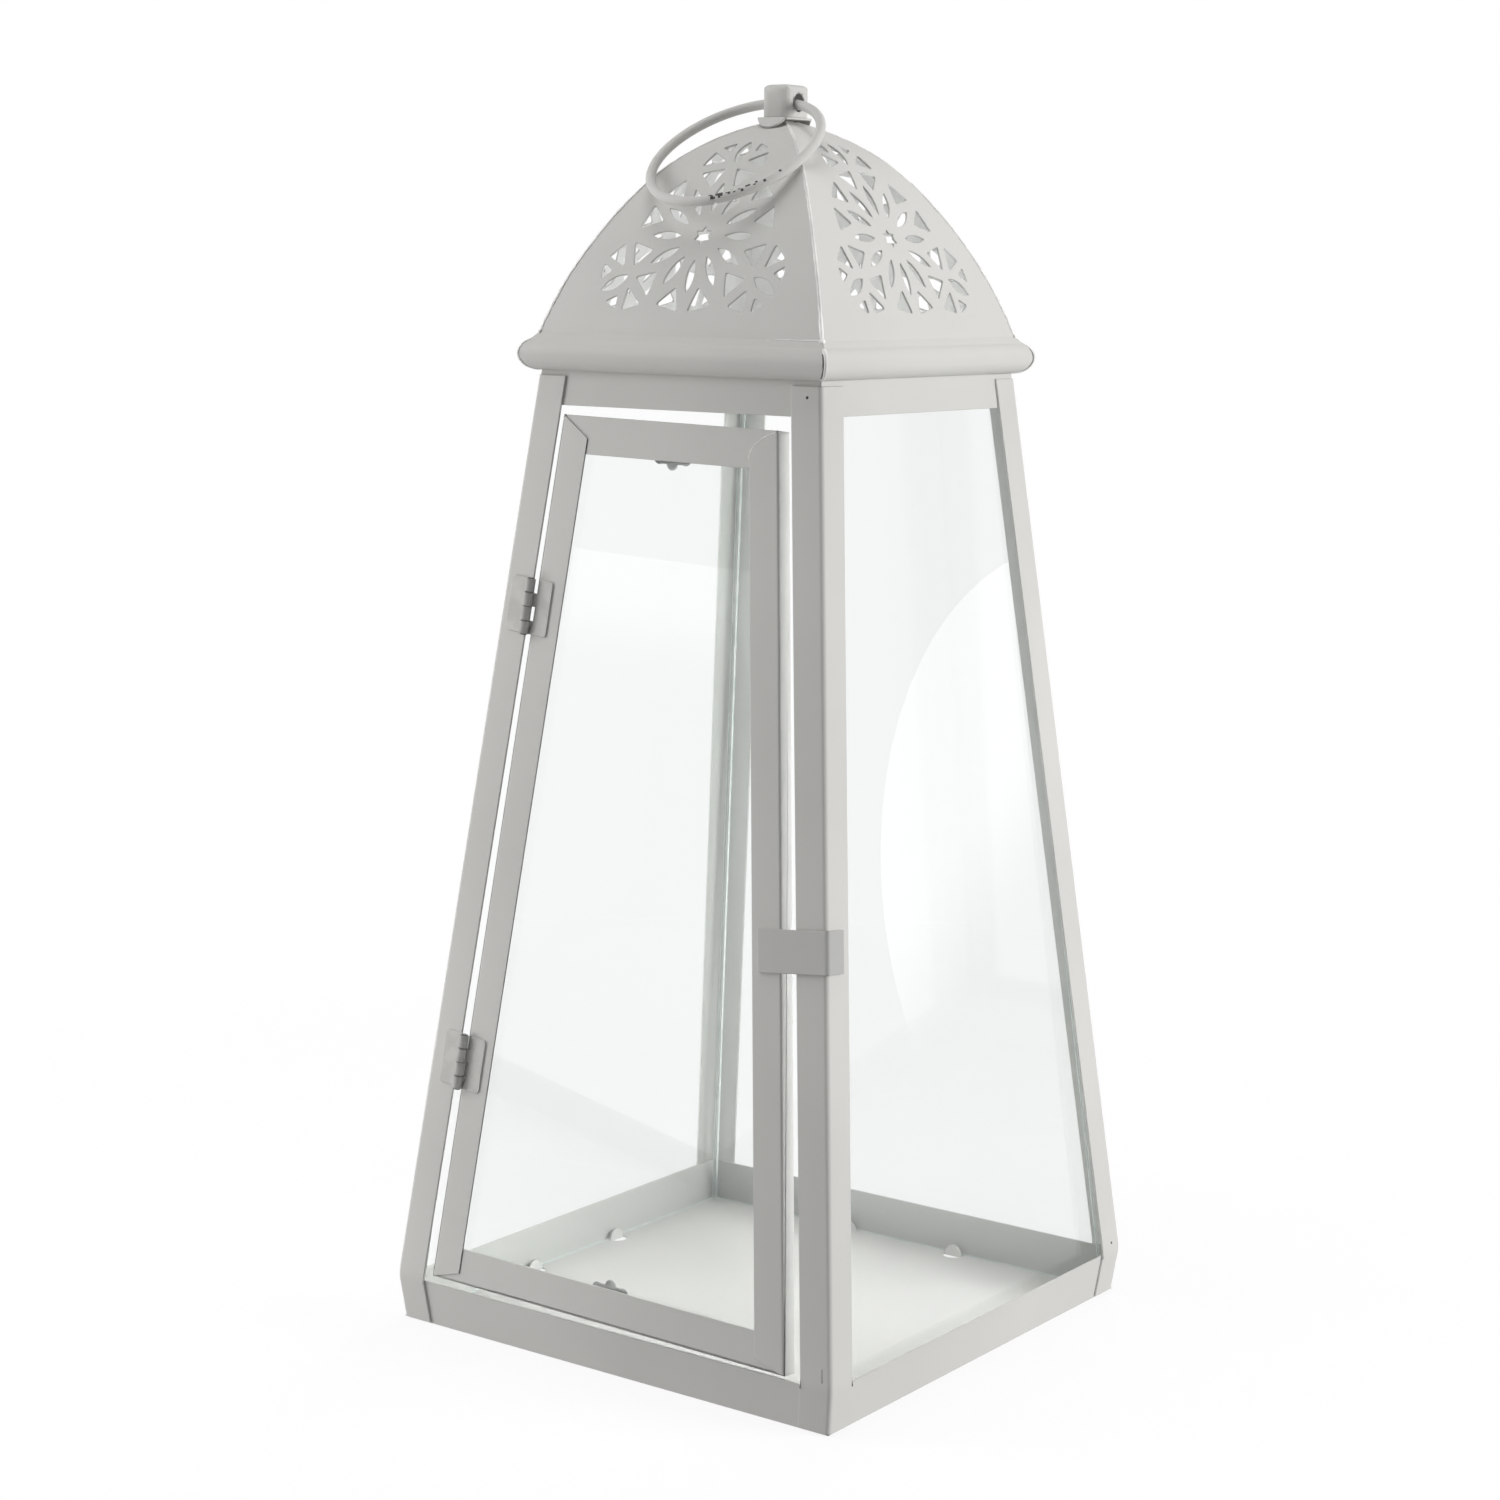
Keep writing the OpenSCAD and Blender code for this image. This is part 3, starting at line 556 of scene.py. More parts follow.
@dataclass(frozen=True)
class PaleFloor(Finish):
    """A pale floor: white to look at, with the lantern's shadow, and brightest near the lantern."""

    name: str
    colour: Colour = (0.9, 0.9, 0.9)
    roughness: float = 0.9
    gloss: float = 0.1
    shadow_share: float = 0.14
    near: float = 0.16
    far: float = 0.6
    near_level: float = 0.53
    far_level: float = 0.27

    def surface(self, nodes: Wiring) -> Socket:
        """Adds what is seen of the floor and what it throws back.

        Args:
            nodes: The material's nodes.

        Returns:
            The shader's socket.
        """
        away = nodes.add("VectorMath", {0: nodes.own_place()}, operation="LENGTH").outputs["Value"]
        share = nodes.spread(away, self.near, self.far, self.shadow_share, 0.0)
        level = nodes.spread(away, self.near, self.far, self.near_level, self.far_level)
        feeds = {"Base Color": opaque(self.colour), "Specular IOR Level": self.gloss}
        matt = nodes.principled(self.roughness, feeds)
        seen = nodes.either(share, nodes.white(nodes.seen_level()), matt)
        return nodes.either(nodes.seen_directly(), nodes.white(level), seen)


PUTTY: Colour = (0.585, 0.58, 0.56)
SHEET_PAINT = SatinPaint("satin_sheet_paint", PUTTY)
# The near-white inner colour is painted light for the light inside the roof.
ROOF_PAINT_LIT_INSIDE = SatinPaint("satin_roof_paint_lit_inside", PUTTY, inner=(0.98, 0.98, 0.97))
CHIPPED_PAINT = SatinPaint(
    "chipped_crown_paint", PUTTY,
    edge_level=0.12, edge_radius=0.0003, edge_amount=0.95, edge_least=0.5, edge_most=0.56,
)
# Lighter than the sheet paint, with near-white patches: painted highlight on the solder seams and
# drops and on the stile laps.
SEAM_HIGHLIGHT_PAINT = SatinPaint(
    "seam_painted_highlight", (0.66, 0.655, 0.64), roughness=0.38, patch_level=1.4, patch_scale=70.0,
    grain_scale=520.0, grain_depth=0.0003, edge_amount=0.0, speck_amount=0.5,
)
HINGE_PAINT = SatinPaint(
    "satin_hinge_paint", (0.57, 0.565, 0.545),
    patch_level=0.88, patch_scale=220.0, speck_amount=0.5,
)
# Darker: painted shade on the hinge knuckles; also the colour of a post's split mark and the
# stile's dimple.
KNUCKLE_SHADE_AND_MARK_PAINT = SatinPaint(
    "knuckle_painted_shade_and_mark", (0.42, 0.415, 0.405),
    patch_level=0.85, patch_scale=300.0, speck_amount=0.5,
)
# Lighter: painted light on the rear posts' inner faces and on the door strips' faces towards +X.
PALE_PAINTED_LIGHT = SatinPaint("pale_painted_light", (0.78, 0.775, 0.755))
# Painted highlight along the crease above the bead.
CREASE_HIGHLIGHT_PAINT = SatinPaint("painted_crease_highlight", (0.8, 0.8, 0.79), edge_amount=0.0)
# Darker: painted shade on the latch strip.
LATCH_SHADE_PAINT = SatinPaint("latch_painted_shade", (0.52, 0.515, 0.5))
# Near black: painted shade on the hinge pins, in the gaps between knuckles and on the left stile's
# edge.
DARK_SHADE_PAINT = SatinPaint("near_black_painted_shade", (0.16, 0.16, 0.155), edge_amount=0.0)
# Darker: painted shade on the clips behind the rails and on the latch's side faces.
CLIP_SHADE_PAINT = SatinPaint("clip_painted_shade", (0.42, 0.42, 0.41))
# Dark marks: worn spots on the ring, the spot welds and a mark on the door; along the bead's open
# seams, painted shade.
DARK_MARK_AND_CRACK_SHADE = SatinPaint("dark_mark_and_painted_crack_shade", (0.07, 0.068, 0.065), roughness=0.55, edge_amount=0.0)
WIRE_PAINT = SatinPaint(
    "satin_wire_paint", PUTTY, roughness=0.36, grain_scale=700.0, edge_amount=0.0
)
PANE_GLASS = ClearGlass("pane_glass", (0.97, 0.98, 0.975), (0.76, 0.77, 0.765))
PANE_EDGE = GroundEdge("ground_glass_edge", (0.76, 0.86, 0.82), (0.96, 1.0, 0.98))


# ---------------------------------------------------------------- making pieces


def in_scene(name: str, data: bpy.types.ID) -> Piece:
    """Sets a mesh, lamp or camera in the scene.

    Args:
        name: The object's name.
        data: The mesh, lamp or camera.

    Returns:
        The new object.
    """
    made = bpy.data.objects.new(name, data)
    bpy.context.scene.collection.objects.link(made)
    return made


def put_on(piece: Piece, body: Body, *nodes: str, slot: Slot = Slot.SHEET) -> Piece:
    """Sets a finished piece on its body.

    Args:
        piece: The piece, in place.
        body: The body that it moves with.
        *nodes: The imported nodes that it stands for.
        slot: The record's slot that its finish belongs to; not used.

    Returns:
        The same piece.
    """
    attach(piece, body.value)
    if nodes:
        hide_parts(*nodes)
    log.info("%s on %s, %d faces", piece.name, body.value, len(piece.data.polygons))
    return piece


def new_piece(name: str, bm: bmesh.types.BMesh, *finishes: Finish) -> Piece:
    """Turns a built mesh into an object in the scene.

    Args:
        name: The piece's name.
        bm: The mesh, which is freed.
        *finishes: Its finishes, in the order of its material indices.

    Returns:
        The new object, shaded smooth.
    """
    mesh = bpy.data.meshes.new(name)
    bm.normal_update()
    bm.to_mesh(mesh)
    bm.free()
    for spare in [a.name for a in mesh.attributes if a.name == "custom_normal"]:
        mesh.attributes.remove(mesh.attributes[spare])
    for finish in finishes:
        mesh.materials.append(finish.material)
    mesh.polygons.foreach_set("use_smooth", [True] * len(mesh.polygons))
    return in_scene(name, mesh)


def welded(node: str, whole: bool = True) -> bmesh.types.BMesh:
    """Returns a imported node's mesh with its faces joined up.

    Args:
        node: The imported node's name.
        whole: Whether the triangles of each flat face become one face.

    Returns:
        The mesh, to be edited and freed.
    """
    bm = bmesh.new()
    bm.from_mesh(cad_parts[node].data)
    bmesh.ops.remove_doubles(bm, verts=bm.verts, dist=WELD_GAP)
    if whole:
        bmesh.ops.dissolve_limit(
            bm, angle_limit=math.radians(FLAT_TURN), verts=bm.verts, edges=bm.edges,
            use_dissolve_boundaries=False,
        )
    return bm


def softened(piece: Piece, rule: FoldRule, widest: float, segments: int = 3) -> None:
    """Rounds a piece's edges, each by its own radius.

    Args:
        piece: The piece.
        rule: Gives an edge's radius from its ends and the turn between its faces, in degrees.
        widest: The largest radius that the rule gives.
        segments: Steps across each rounding.
    """
    bm = bmesh.new()
    bm.from_mesh(piece.data)
    layer = bm.edges.layers.float.new("bevel_weight_edge")
    for edge in bm.edges:
        if len(edge.link_faces) == 2:
            turn = math.degrees(edge.calc_face_angle(0.0))
            edge[layer] = min(1.0, rule(edge.verts[0].co, edge.verts[1].co, turn) / widest)
    bm.to_mesh(piece.data)
    bm.free()
    rounding = piece.modifiers.new("rounding", "BEVEL")
    rounding.limit_method = "WEIGHT"
    rounding.width = widest
    rounding.segments = segments
    rounding.use_clamp_overlap = False
    rounding.miter_outer = "MITER_ARC"
    piece.modifiers.new("level", "WEIGHTED_NORMAL").keep_sharp = False


def same_radius(radius: float, least_turn: float = SHARP_TURN) -> FoldRule:
    """Returns a rule that rounds every edge with at least that turn alike."""
    return lambda start, end, turn: radius if turn > least_turn else 0.0


def dressed(
    node: str, body: Body, finish: Finish, rule: FoldRule, widest: float, whole: bool = True
) -> Piece:
    """Makes the shown copy of a sheet piece, with its folds and edges rounded.

    Args:
        node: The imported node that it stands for.
        body: The body that it moves with.
        finish: Its finish.
        rule: The radius of each edge.
        widest: The largest radius.
        whole: Whether the triangles of each flat face become one face.

    Returns:
        The new piece.
    """
    piece = new_piece(f"{node}_sheet", welded(node, whole), finish)
    softened(piece, rule, widest)
    return put_on(piece, body, node)


def carried(node: str, finish: Finish) -> None:
    """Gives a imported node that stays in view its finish.

    Args:
        node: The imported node.
        finish: Its finish.
    """
    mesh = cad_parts[node].data
    mesh.materials.clear()
    mesh.materials.append(finish.material)
    log.info("%s carried over", node)


def paint_faces(
    piece: Piece, finish: Finish, chosen: Callable[[bpy.types.MeshPolygon], bool]
) -> None:
    """Gives some of a piece's faces a finish of their own.

    Args:
        piece: The piece, which has one finish so far.
        finish: The second finish.
        chosen: Tells whether a face gets it.
    """
    piece.data.materials.append(finish.material)
    for face in piece.data.polygons:
        face.material_index = int(chosen(face))


def strip_between(name: str, rows: Rows, finish: Finish) -> Piece:
    """Makes a closed strip from rows of points, each row a section across it.

    Args:
        name: The piece's name.
        rows: The sections, all with the same number of points.
        finish: Its finish.

    Returns:
        The new piece.
    """
    bm = bmesh.new()
    verts = [[bm.verts.new(p) for p in row] for row in rows]
    for near, far in zip(verts, verts[1:]):
        for i in range(len(near)):
            j = (i + 1) % len(near)
            bm.faces.new((near[i], near[j], far[j], far[i]))
    bm.faces.new(list(reversed(verts[0])))
    bm.faces.new(verts[-1])
    bmesh.ops.recalc_face_normals(bm, faces=bm.faces)
    return new_piece(name, bm, finish)


def turned_form(
    name: str, radius: float, profile: Course, place: Matrix, finish: Finish
) -> Piece:
    """Makes a small round form from its profile.

    Args:
        name: The piece's name.
        radius: Its radius.
        profile: The share of the radius and the height of each ring, from the foot to the top.
        place: Where its foot's middle stands, with z outwards.
        finish: Its finish.

    Returns:
        The new piece.
    """
    angles = [math.tau * i / FORM_SIDES for i in range(FORM_SIDES)]
    rows = [
        [place @ Vector((radius * r * math.cos(a), radius * r * math.sin(a), z)) for a in angles]
        for r, z in profile
    ]
    return strip_between(name, rows, finish)


def quarter_turns(rows: Rows, count: int) -> Rows:
    """Returns sections turned about the upright axis by quarter turns."""
    turn = Matrix.Rotation(count * math.pi / 2, 3, "Z")
    return [[turn @ point for point in row] for row in rows]


@dataclass(frozen=True)
class Wander:
    """A value that wanders smoothly over space."""

    scale: float
    seed: float = 0.0
    share: float = 1.0

    def value(self, point: Vector, shift: float = 0.0) -> float:
        """Returns a value from -1 to 1, with another course for each shift."""
        seed = self.seed + shift
        return noise.noise(point * self.scale + Vector((seed, seed * 0.37, -seed)))

    def factor(self, point: Vector, shift: float = 0.0) -> float:
        """Returns a factor about 1 that strays from it by the share."""
        return 1 + self.share * self.value(point, shift)


# ---------------------------------------------------------------- sub-assemblies


@dataclass
class BodyShape:
    """The leaning outer faces of the posts, which everything else follows."""

    knee_half: float = 0.085
    knee_z: float = 0.0148
    top_half: float = 0.05355
    top_z: float = 0.3028

    @property
    def slope(self) -> float:
        """Inward run of a face for each metre of height."""
        return (self.knee_half - self.top_half) / (self.top_z - self.knee_z)

    @property
    def lean(self) -> float:
        """The faces' angle from upright, in radians."""
        return math.atan(self.slope)

    def half(self, z: float) -> float:
        """Returns the half-width over the posts at a height above the knee."""
        return self.knee_half - (z - self.knee_z) * self.slope

    def on_side(self, side: int, across: float, z: float, out: float = 0.0) -> Matrix:
        """Gives a place on one of the four faces.

        Args:
            side: Quarter turns from the front face, as seen from above.
            across: Distance from the middle of the face.
            z: Height.
            out: Distance outwards from the face.

        Returns:
            A matrix whose z axis points outwards and whose y axis points up the face.
        """
        upright = Matrix.Rotation(math.pi / 2 - self.lean, 4, "X")
        face = Matrix.Translation((across, -self.half(z), z)) @ upright
        return Matrix.Rotation(side * math.pi / 2, 4, "Z") @ face @ Matrix.Translation((0, 0, out))

    def face_line(self, path: Course, width: float, inset: float) -> Rows:
        """Gives the sections of a thin raised line on the front.

        Args:
            path: Its course, as x and height.
            width: Its width.
            inset: How far it lies behind the posts' front face.

        Returns:
            The sections, for strip_between().
        """
        rows = []
        out = Vector((0.0, -math.cos(self.lean), math.sin(self.lean)))
        for at, (x, z) in enumerate(path):
            near, far = path[max(at - 1, 0)], path[min(at + 1, len(path) - 1)]
            run = Vector((far[0] - near[0], 0.0, far[1] - near[1])).normalized()
            side = Vector((-run.z, run.x * self.slope, run.x)) * width / 2
            foot = Vector((x, -self.half(z), z)) - out * inset
            rows.append([foot + side * across + out * rise for across, rise in LINE_SECTION])
        return rows


@dataclass(frozen=True)
class SpotWeld:
    """The small dark pit that a spot weld leaves, placed from the edge of a post's face."""

    name: str
    side: int
    edge_z: float
    inset: float
    z: float


@dataclass
class PostsAndTray:
    """Four folded corner posts on a folded tray."""

    shape: BodyShape
    outer_fold: float = 0.0014
    inner_fold: float = 0.0004
    knee_fold: float = 0.0016
    tray_fold: float = 0.0006
    edge: float = 0.00012
    least_turn: float = 5.0
    knee_turn: float = 40.0
    level_within: float = 0.0008
    even_within: float = 0.0004
    face_within: float = 0.0003
    upright_from: float = 0.005
    weld_r: float = 0.00045
    welds: tuple[SpotWeld, ...] = (
        SpotWeld("spot_weld_front", 0, 0.30175, 0.005, 0.2995),
        SpotWeld("spot_weld_right", 1, 0.0153, 0.0056, 0.0175),
    )
    mark: Course = ((0.0811, 0.0206), (0.08135, 0.0185), (0.0816, 0.0166))
    mark_w: float = 0.0004

    def post_rule(self, start: Vector, end: Vector, turn: float) -> float:
        """Gives the radius of an edge of a post.

        Args:
            start: One end of the edge.
            end: The other end.
            turn: The turn between its two faces, in degrees.

        Returns:
            The radius, large along the fold and at the knee and small along cut edges.
        """
        if turn < self.least_turn:
            return 0.0
        level = abs(start.z - end.z) < self.level_within
        if turn < self.knee_turn:
            return self.knee_fold if level else 0.0
        even = all(abs(abs(p.x) - abs(p.y)) < self.even_within for p in (start, end))
        if level or not even:
            return self.edge
        knee = self.shape.knee_z
        high = start if start.z > knee else end
        outside = high.z <= knee or abs(high.x) > self.shape.half(high.z) - self.face_within
        return self.outer_fold if outside else self.inner_fold

    def tray_rule(self, start: Vector, end: Vector, turn: float) -> float:
        """Gives the radius of an edge of the tray, larger along its upright folds."""
        fold = self.tray_fold if abs(start.z - end.z) > self.upright_from else self.edge
        return fold if turn >= SHARP_TURN else 0.0

    def build(self) -> None:
        """Makes the posts, with painted light on the rear posts' inner faces, the tray and the
        small marks on them.
        """
        for corner in CORNERS:
            node = f"corner_post_{corner}"
            post = dressed(node, Body.FRAME, SHEET_PAINT, self.post_rule, self.knee_fold)
            # Painted light: the rear posts' inner faces towards -Y are lighter.
            paint_faces(post, PALE_PAINTED_LIGHT, lambda f: f.normal.y < -FACING and f.center.y > 0.0)
        dressed("base_tray", Body.FRAME, SHEET_PAINT, self.tray_rule, self.tray_fold, whole=False)
        for weld in self.welds:
            across = self.shape.half(weld.edge_z) - weld.inset
            place = self.shape.on_side(weld.side, across, weld.z)
            put_on(turned_form(weld.name, self.weld_r, PIT, place, DARK_MARK_AND_CRACK_SHADE), Body.FRAME)
        rows = self.shape.face_line(self.mark, self.mark_w, inset=0.0)
        put_on(strip_between("post_mark", rows, KNUCKLE_SHADE_AND_MARK_PAINT), Body.FRAME)


@dataclass
class Glazing:
    """The three fixed panes and the door's pane, with ground edges."""

    edge: float = 0.00018
    panes: tuple[tuple[str, Body], ...] = (
        ("glass_right", Body.FRAME),
        ("glass_rear", Body.FRAME),
        ("glass_left", Body.FRAME),
        ("door_glass", Body.DOOR),
    )

    def build(self) -> None:
        """Makes each pane with clear faces and ground edges."""
        for node, body in self.panes:
            bm = welded(node)
            widest = max(face.calc_area() for face in bm.faces)
            for face in bm.faces:
                face.material_index = int(face.calc_area() <= widest / 2)
            piece = new_piece(f"{node}_pane", bm, PANE_GLASS, PANE_EDGE)
            softened(piece, same_radius(self.edge), self.edge, segments=2)
            piece.modifiers["rounding"].material = 1
            put_on(piece, body, node, slot=Slot.GLASS)


@dataclass(frozen=True)
class Arc:
    """An arc of the roof's outer profile."""

    at: tuple[float, float]
    radius: float
    start: float
    end: float
    count: int

    def points(self) -> list[Station]:
        """Returns the half-width, height and outward angle, in radians, of the arc's points."""
        steps = [i / (self.count - 1) for i in range(self.count)]
        return [self.point(math.radians(self.start + (self.end - self.start) * t)) for t in steps]

    def point(self, angle: float) -> Station:
        """Returns the arc's point at an angle in radians."""
        across, up = self.radius * math.cos(angle), self.radius * math.sin(angle)
        return (self.at[0] + across, self.at[1] + up, angle)


@dataclass
class Roof:
    """Four pierced panels, soldered along their ridges, with a crown plate and a cap."""

    bead: Arc = Arc((0.05315, 0.30935), 0.0049, -90.0, 64.2, 40)
    low_dome: Arc = Arc((-0.086255, 0.274032), 0.1457, 16.7, 36.8, 70)
    high_dome: Arc = Arc((-0.014189, 0.327944), 0.0557, 36.8, 72.0, 60)
    seam_w: float = 0.0008
    seam_h: float = 0.00016
    seam_foot: float = 0.0003
    seam_lap: float = 0.00003
    seam_steps: tuple[float, ...] = (-1.0, -0.66, -0.33, 0.0, 0.33, 0.66, 1.0)
    seam_w_wander: Wander = Wander(300.0, share=0.45)
    seam_h_wander: Wander = Wander(700.0, seed=9.0, share=0.8)
    crack_w: float = 0.0004
    crack_at: float = 1.05
    crack_from: int = 8
    crack_to: int = -7
    crack_wander: Wander = Wander(900.0, seed=2.0, share=0.5)
    crease_r: float = 0.0004
    crease_l: float = 0.019
    crease_inset: float = 0.0006
    crease_taper: float = 0.7
    crease_wander: Wander = Wander(600.0, seed=5.0, share=0.3)
    crease_steps: int = 24
    crease_sides: int = 8
    drop_r: float = 0.0009
    drop_sink: float = 0.0002
    drop_lean: float = 80.0
    plate_edge: float = 0.00015
    cap_edge: float = 0.0003

    def dome(self) -> list[Station]:
        """Returns the points of the dome, from its crease to the crown."""
        return self.low_dome.points() + self.high_dome.points()[1:]

    def build(self) -> None:
        """Paints the panels, with painted light on their inner faces, and adds the soldered seams
        and crease line with painted highlight, the plate and the cap.
        """
        for side in ("front", "right", "rear", "left"):
            carried(f"roof_panel_{side}", ROOF_PAINT_LIT_INSIDE)
        for turn, corner in enumerate(CORNERS):
            self.seam(f"ridge_solder_{corner}", self.dome(), turn)
            self.seam(f"bead_solder_{corner}", self.bead.points(), turn)
            self.crack(f"bead_crack_{corner}", turn)
            self.drop(f"crease_solder_{corner}", turn)
        self.crease("crease_painted_highlight")
        edge = self.plate_edge
        dressed("crown_plate", Body.FRAME, CHIPPED_PAINT, same_radius(edge), edge)
        edge = self.cap_edge
        cap = dressed("crown_cap", Body.FRAME, CHIPPED_PAINT, same_radius(edge, CLEAR_TURN), edge)
        cap.modifiers.remove(cap.modifiers["level"])

    def crack(self, name: str, turn: int) -> None:
        """Draws the open seam as a dark line beside the bead's corner: painted shade in the
        opening.

        Args:
            name: The piece's name.
            turn: Quarter turns from the front right corner.
        """
        rows = []
        for half, z, angle in self.bead.points()[self.crack_from:self.crack_to]:
            out = Vector((0, -math.cos(angle), math.sin(angle)))
            start = Vector((half - self.seam_w * self.crack_at, -half, z))
            w = self.crack_w * self.crack_wander.factor(start, turn)
            rows.append([start + Vector((w * k, 0, 0)) + out * h for k, h in CRACK_SECTION])
        put_on(strip_between(name, quarter_turns(rows, turn), DARK_MARK_AND_CRACK_SHADE), Body.FRAME)

    def crease(self, name: str) -> None:
        """Lays a painted highlight in the front's crease: a thin bright bead, thinner away from the
        corner.

        Args:
            name: The piece's name.
        """
        rows = []
        half, z, _ = self.dome()[0]
        angles = [math.tau * k / self.crease_sides for k in range(self.crease_sides)]
        for i in range(self.crease_steps + 1):
            part = i / self.crease_steps
            middle = Vector((half - self.crease_inset - self.crease_l * part, -half, z))
            r = self.crease_r * (1 - self.crease_taper * part) * self.crease_wander.factor(middle)
            rows.append([middle + Vector((0, r * math.cos(a), r * math.sin(a))) for a in angles])
        put_on(strip_between(name, rows, CREASE_HIGHLIGHT_PAINT), Body.FRAME)

    def drop(self, name: str, turn: int) -> None:
        """Sets a drop of solder where the crease meets the corner, lighter as painted highlight.

        Args:
            name: The piece's name.
            turn: Quarter turns from the front right corner.
        """
        half, z, _ = self.dome()[0]
        place = (
            Matrix.Rotation(turn * math.pi / 2, 4, "Z")
            @ Matrix.Translation((half, -half, z - self.drop_sink))
            @ Matrix.Rotation(math.radians(-45), 4, "Z")
            @ Matrix.Rotation(math.radians(self.drop_lean), 4, "Y")
        )
        put_on(turned_form(name, self.drop_r, SOLDER_DROP, place, SEAM_HIGHLIGHT_PAINT), Body.FRAME)

    def seam(self, name: str, path: Sequence[Station], turn: int) -> None:
        """Lays a thin uneven line of solder along a corner of the roof, lighter as painted
        highlight.

        Args:
            name: The piece's name.
            path: Its course along the corner.
            turn: Quarter turns from the front right corner.
        """
        rows = []
        own_course = 3.1 * turn + len(name)
        for half, z, angle in path:
            corner = Vector((half, -half, z))
            front = Vector((0, -math.cos(angle), math.sin(angle)))
            right = Vector((math.cos(angle), 0, math.sin(angle)))
            out = (front + right).normalized()
            w = self.seam_w * self.seam_w_wander.factor(corner, own_course)
            h = self.seam_h * self.seam_h_wander.factor(corner, own_course)
            row = []
            for t in self.seam_steps:
                along = Vector((-1, 0, 0)) if t < 0 else Vector((0, 1, 0))
                own = front if t < 0 else right if t > 0 else out
                raised = h * (1 - t * t) ** 0.5 if abs(t) < 1 else -self.seam_lap
                row.append(corner + along * (abs(t) * w) + own * raised)
            rows.append([*row, corner - out * self.seam_foot])
        put_on(strip_between(name, quarter_turns(rows, turn), SEAM_HIGHLIGHT_PAINT), Body.FRAME)


@dataclass
class Ring:
    """The carrying ring: bent wire whose ends meet in a butt joint."""

    radius: float = 0.0274
    wire_r: float = 0.0015
    pivot: Place = (-0.0016, 0.0, 0.386733)
    tilt: float = 34.45
    joint_at: float = 288.0
    joint_gap: float = 0.0001
    joint_share: float = 0.62
    end_share: float = 0.86
    end_l: float = 0.004
    steps: int = 220
    sides: int = 22
    wear: Wander = Wander(900.0, seed=4.0)
    worn_sides: tuple[float, float] = (0.05, 0.45)
    worn: tuple[tuple[float, float, float], ...] = ((284.0, 293.0, -0.05), (296.0, 336.0, 0.3))

    def build(self) -> None:
        """Makes the wire with the small gap at its joint."""
        lay = (
            Matrix.Translation(self.pivot)
            @ Matrix.Rotation(math.radians(self.tilt), 4, "X")
            @ Matrix.Translation((0, -self.radius, 0))
        )
        bm = bmesh.new()
        loops = []
        for i in range(self.steps):
            angle = math.tau * i / self.steps
            wire = self.wire_r * self.share(math.degrees(angle))
            loop = []
            for j in range(self.sides):
                around = math.tau * j / self.sides
                r = self.radius + wire * math.cos(around)
                point = Vector((r * math.cos(angle), r * math.sin(angle), wire * math.sin(around)))
                loop.append(bm.verts.new(lay @ point))
            loops.append(loop)
        for i in range(self.steps):
            near, far = loops[i], loops[(i + 1) % self.steps]
            for j in range(self.sides):
                k = (j + 1) % self.sides
                face = bm.faces.new((near[j], far[j], far[k], near[k]))
                face.material_index = int(self.is_worn(360.0 * i / self.steps, j, near[j].co))
        bmesh.ops.recalc_face_normals(bm, faces=bm.faces)
        piece = new_piece("ring_wire", bm, WIRE_PAINT, DARK_MARK_AND_CRACK_SHADE)
        put_on(piece, Body.RING, "carrying_ring", slot=Slot.WIRE)

    def share(self, angle: float) -> float:
        """Returns how much of its thickness the wire has, less near the joint.

        Args:
            angle: The place round the ring.

        Returns:
            The share, up to 1.
        """
        away = math.radians(abs((angle - self.joint_at + 180) % 360 - 180)) * self.radius
        near = min(1.0, self.end_share + away / self.end_l)
        return self.joint_share if away < self.joint_gap else near

    def is_worn(self, angle: float, side: int, at: Vector) -> bool:
        """Tells whether the paint is gone from a small face of the wire.

        Args:
            angle: Where the face is round the ring.
            side: Its number round the wire.
            at: Its place.

        Returns:
            Whether bare metal shows there.
        """
        first, last = self.worn_sides
        if not self.sides * first < side < self.sides * last:
            return False
        bare = self.wear.value(at)
        return any(low < angle < high and bare > level for low, high, level in self.worn)


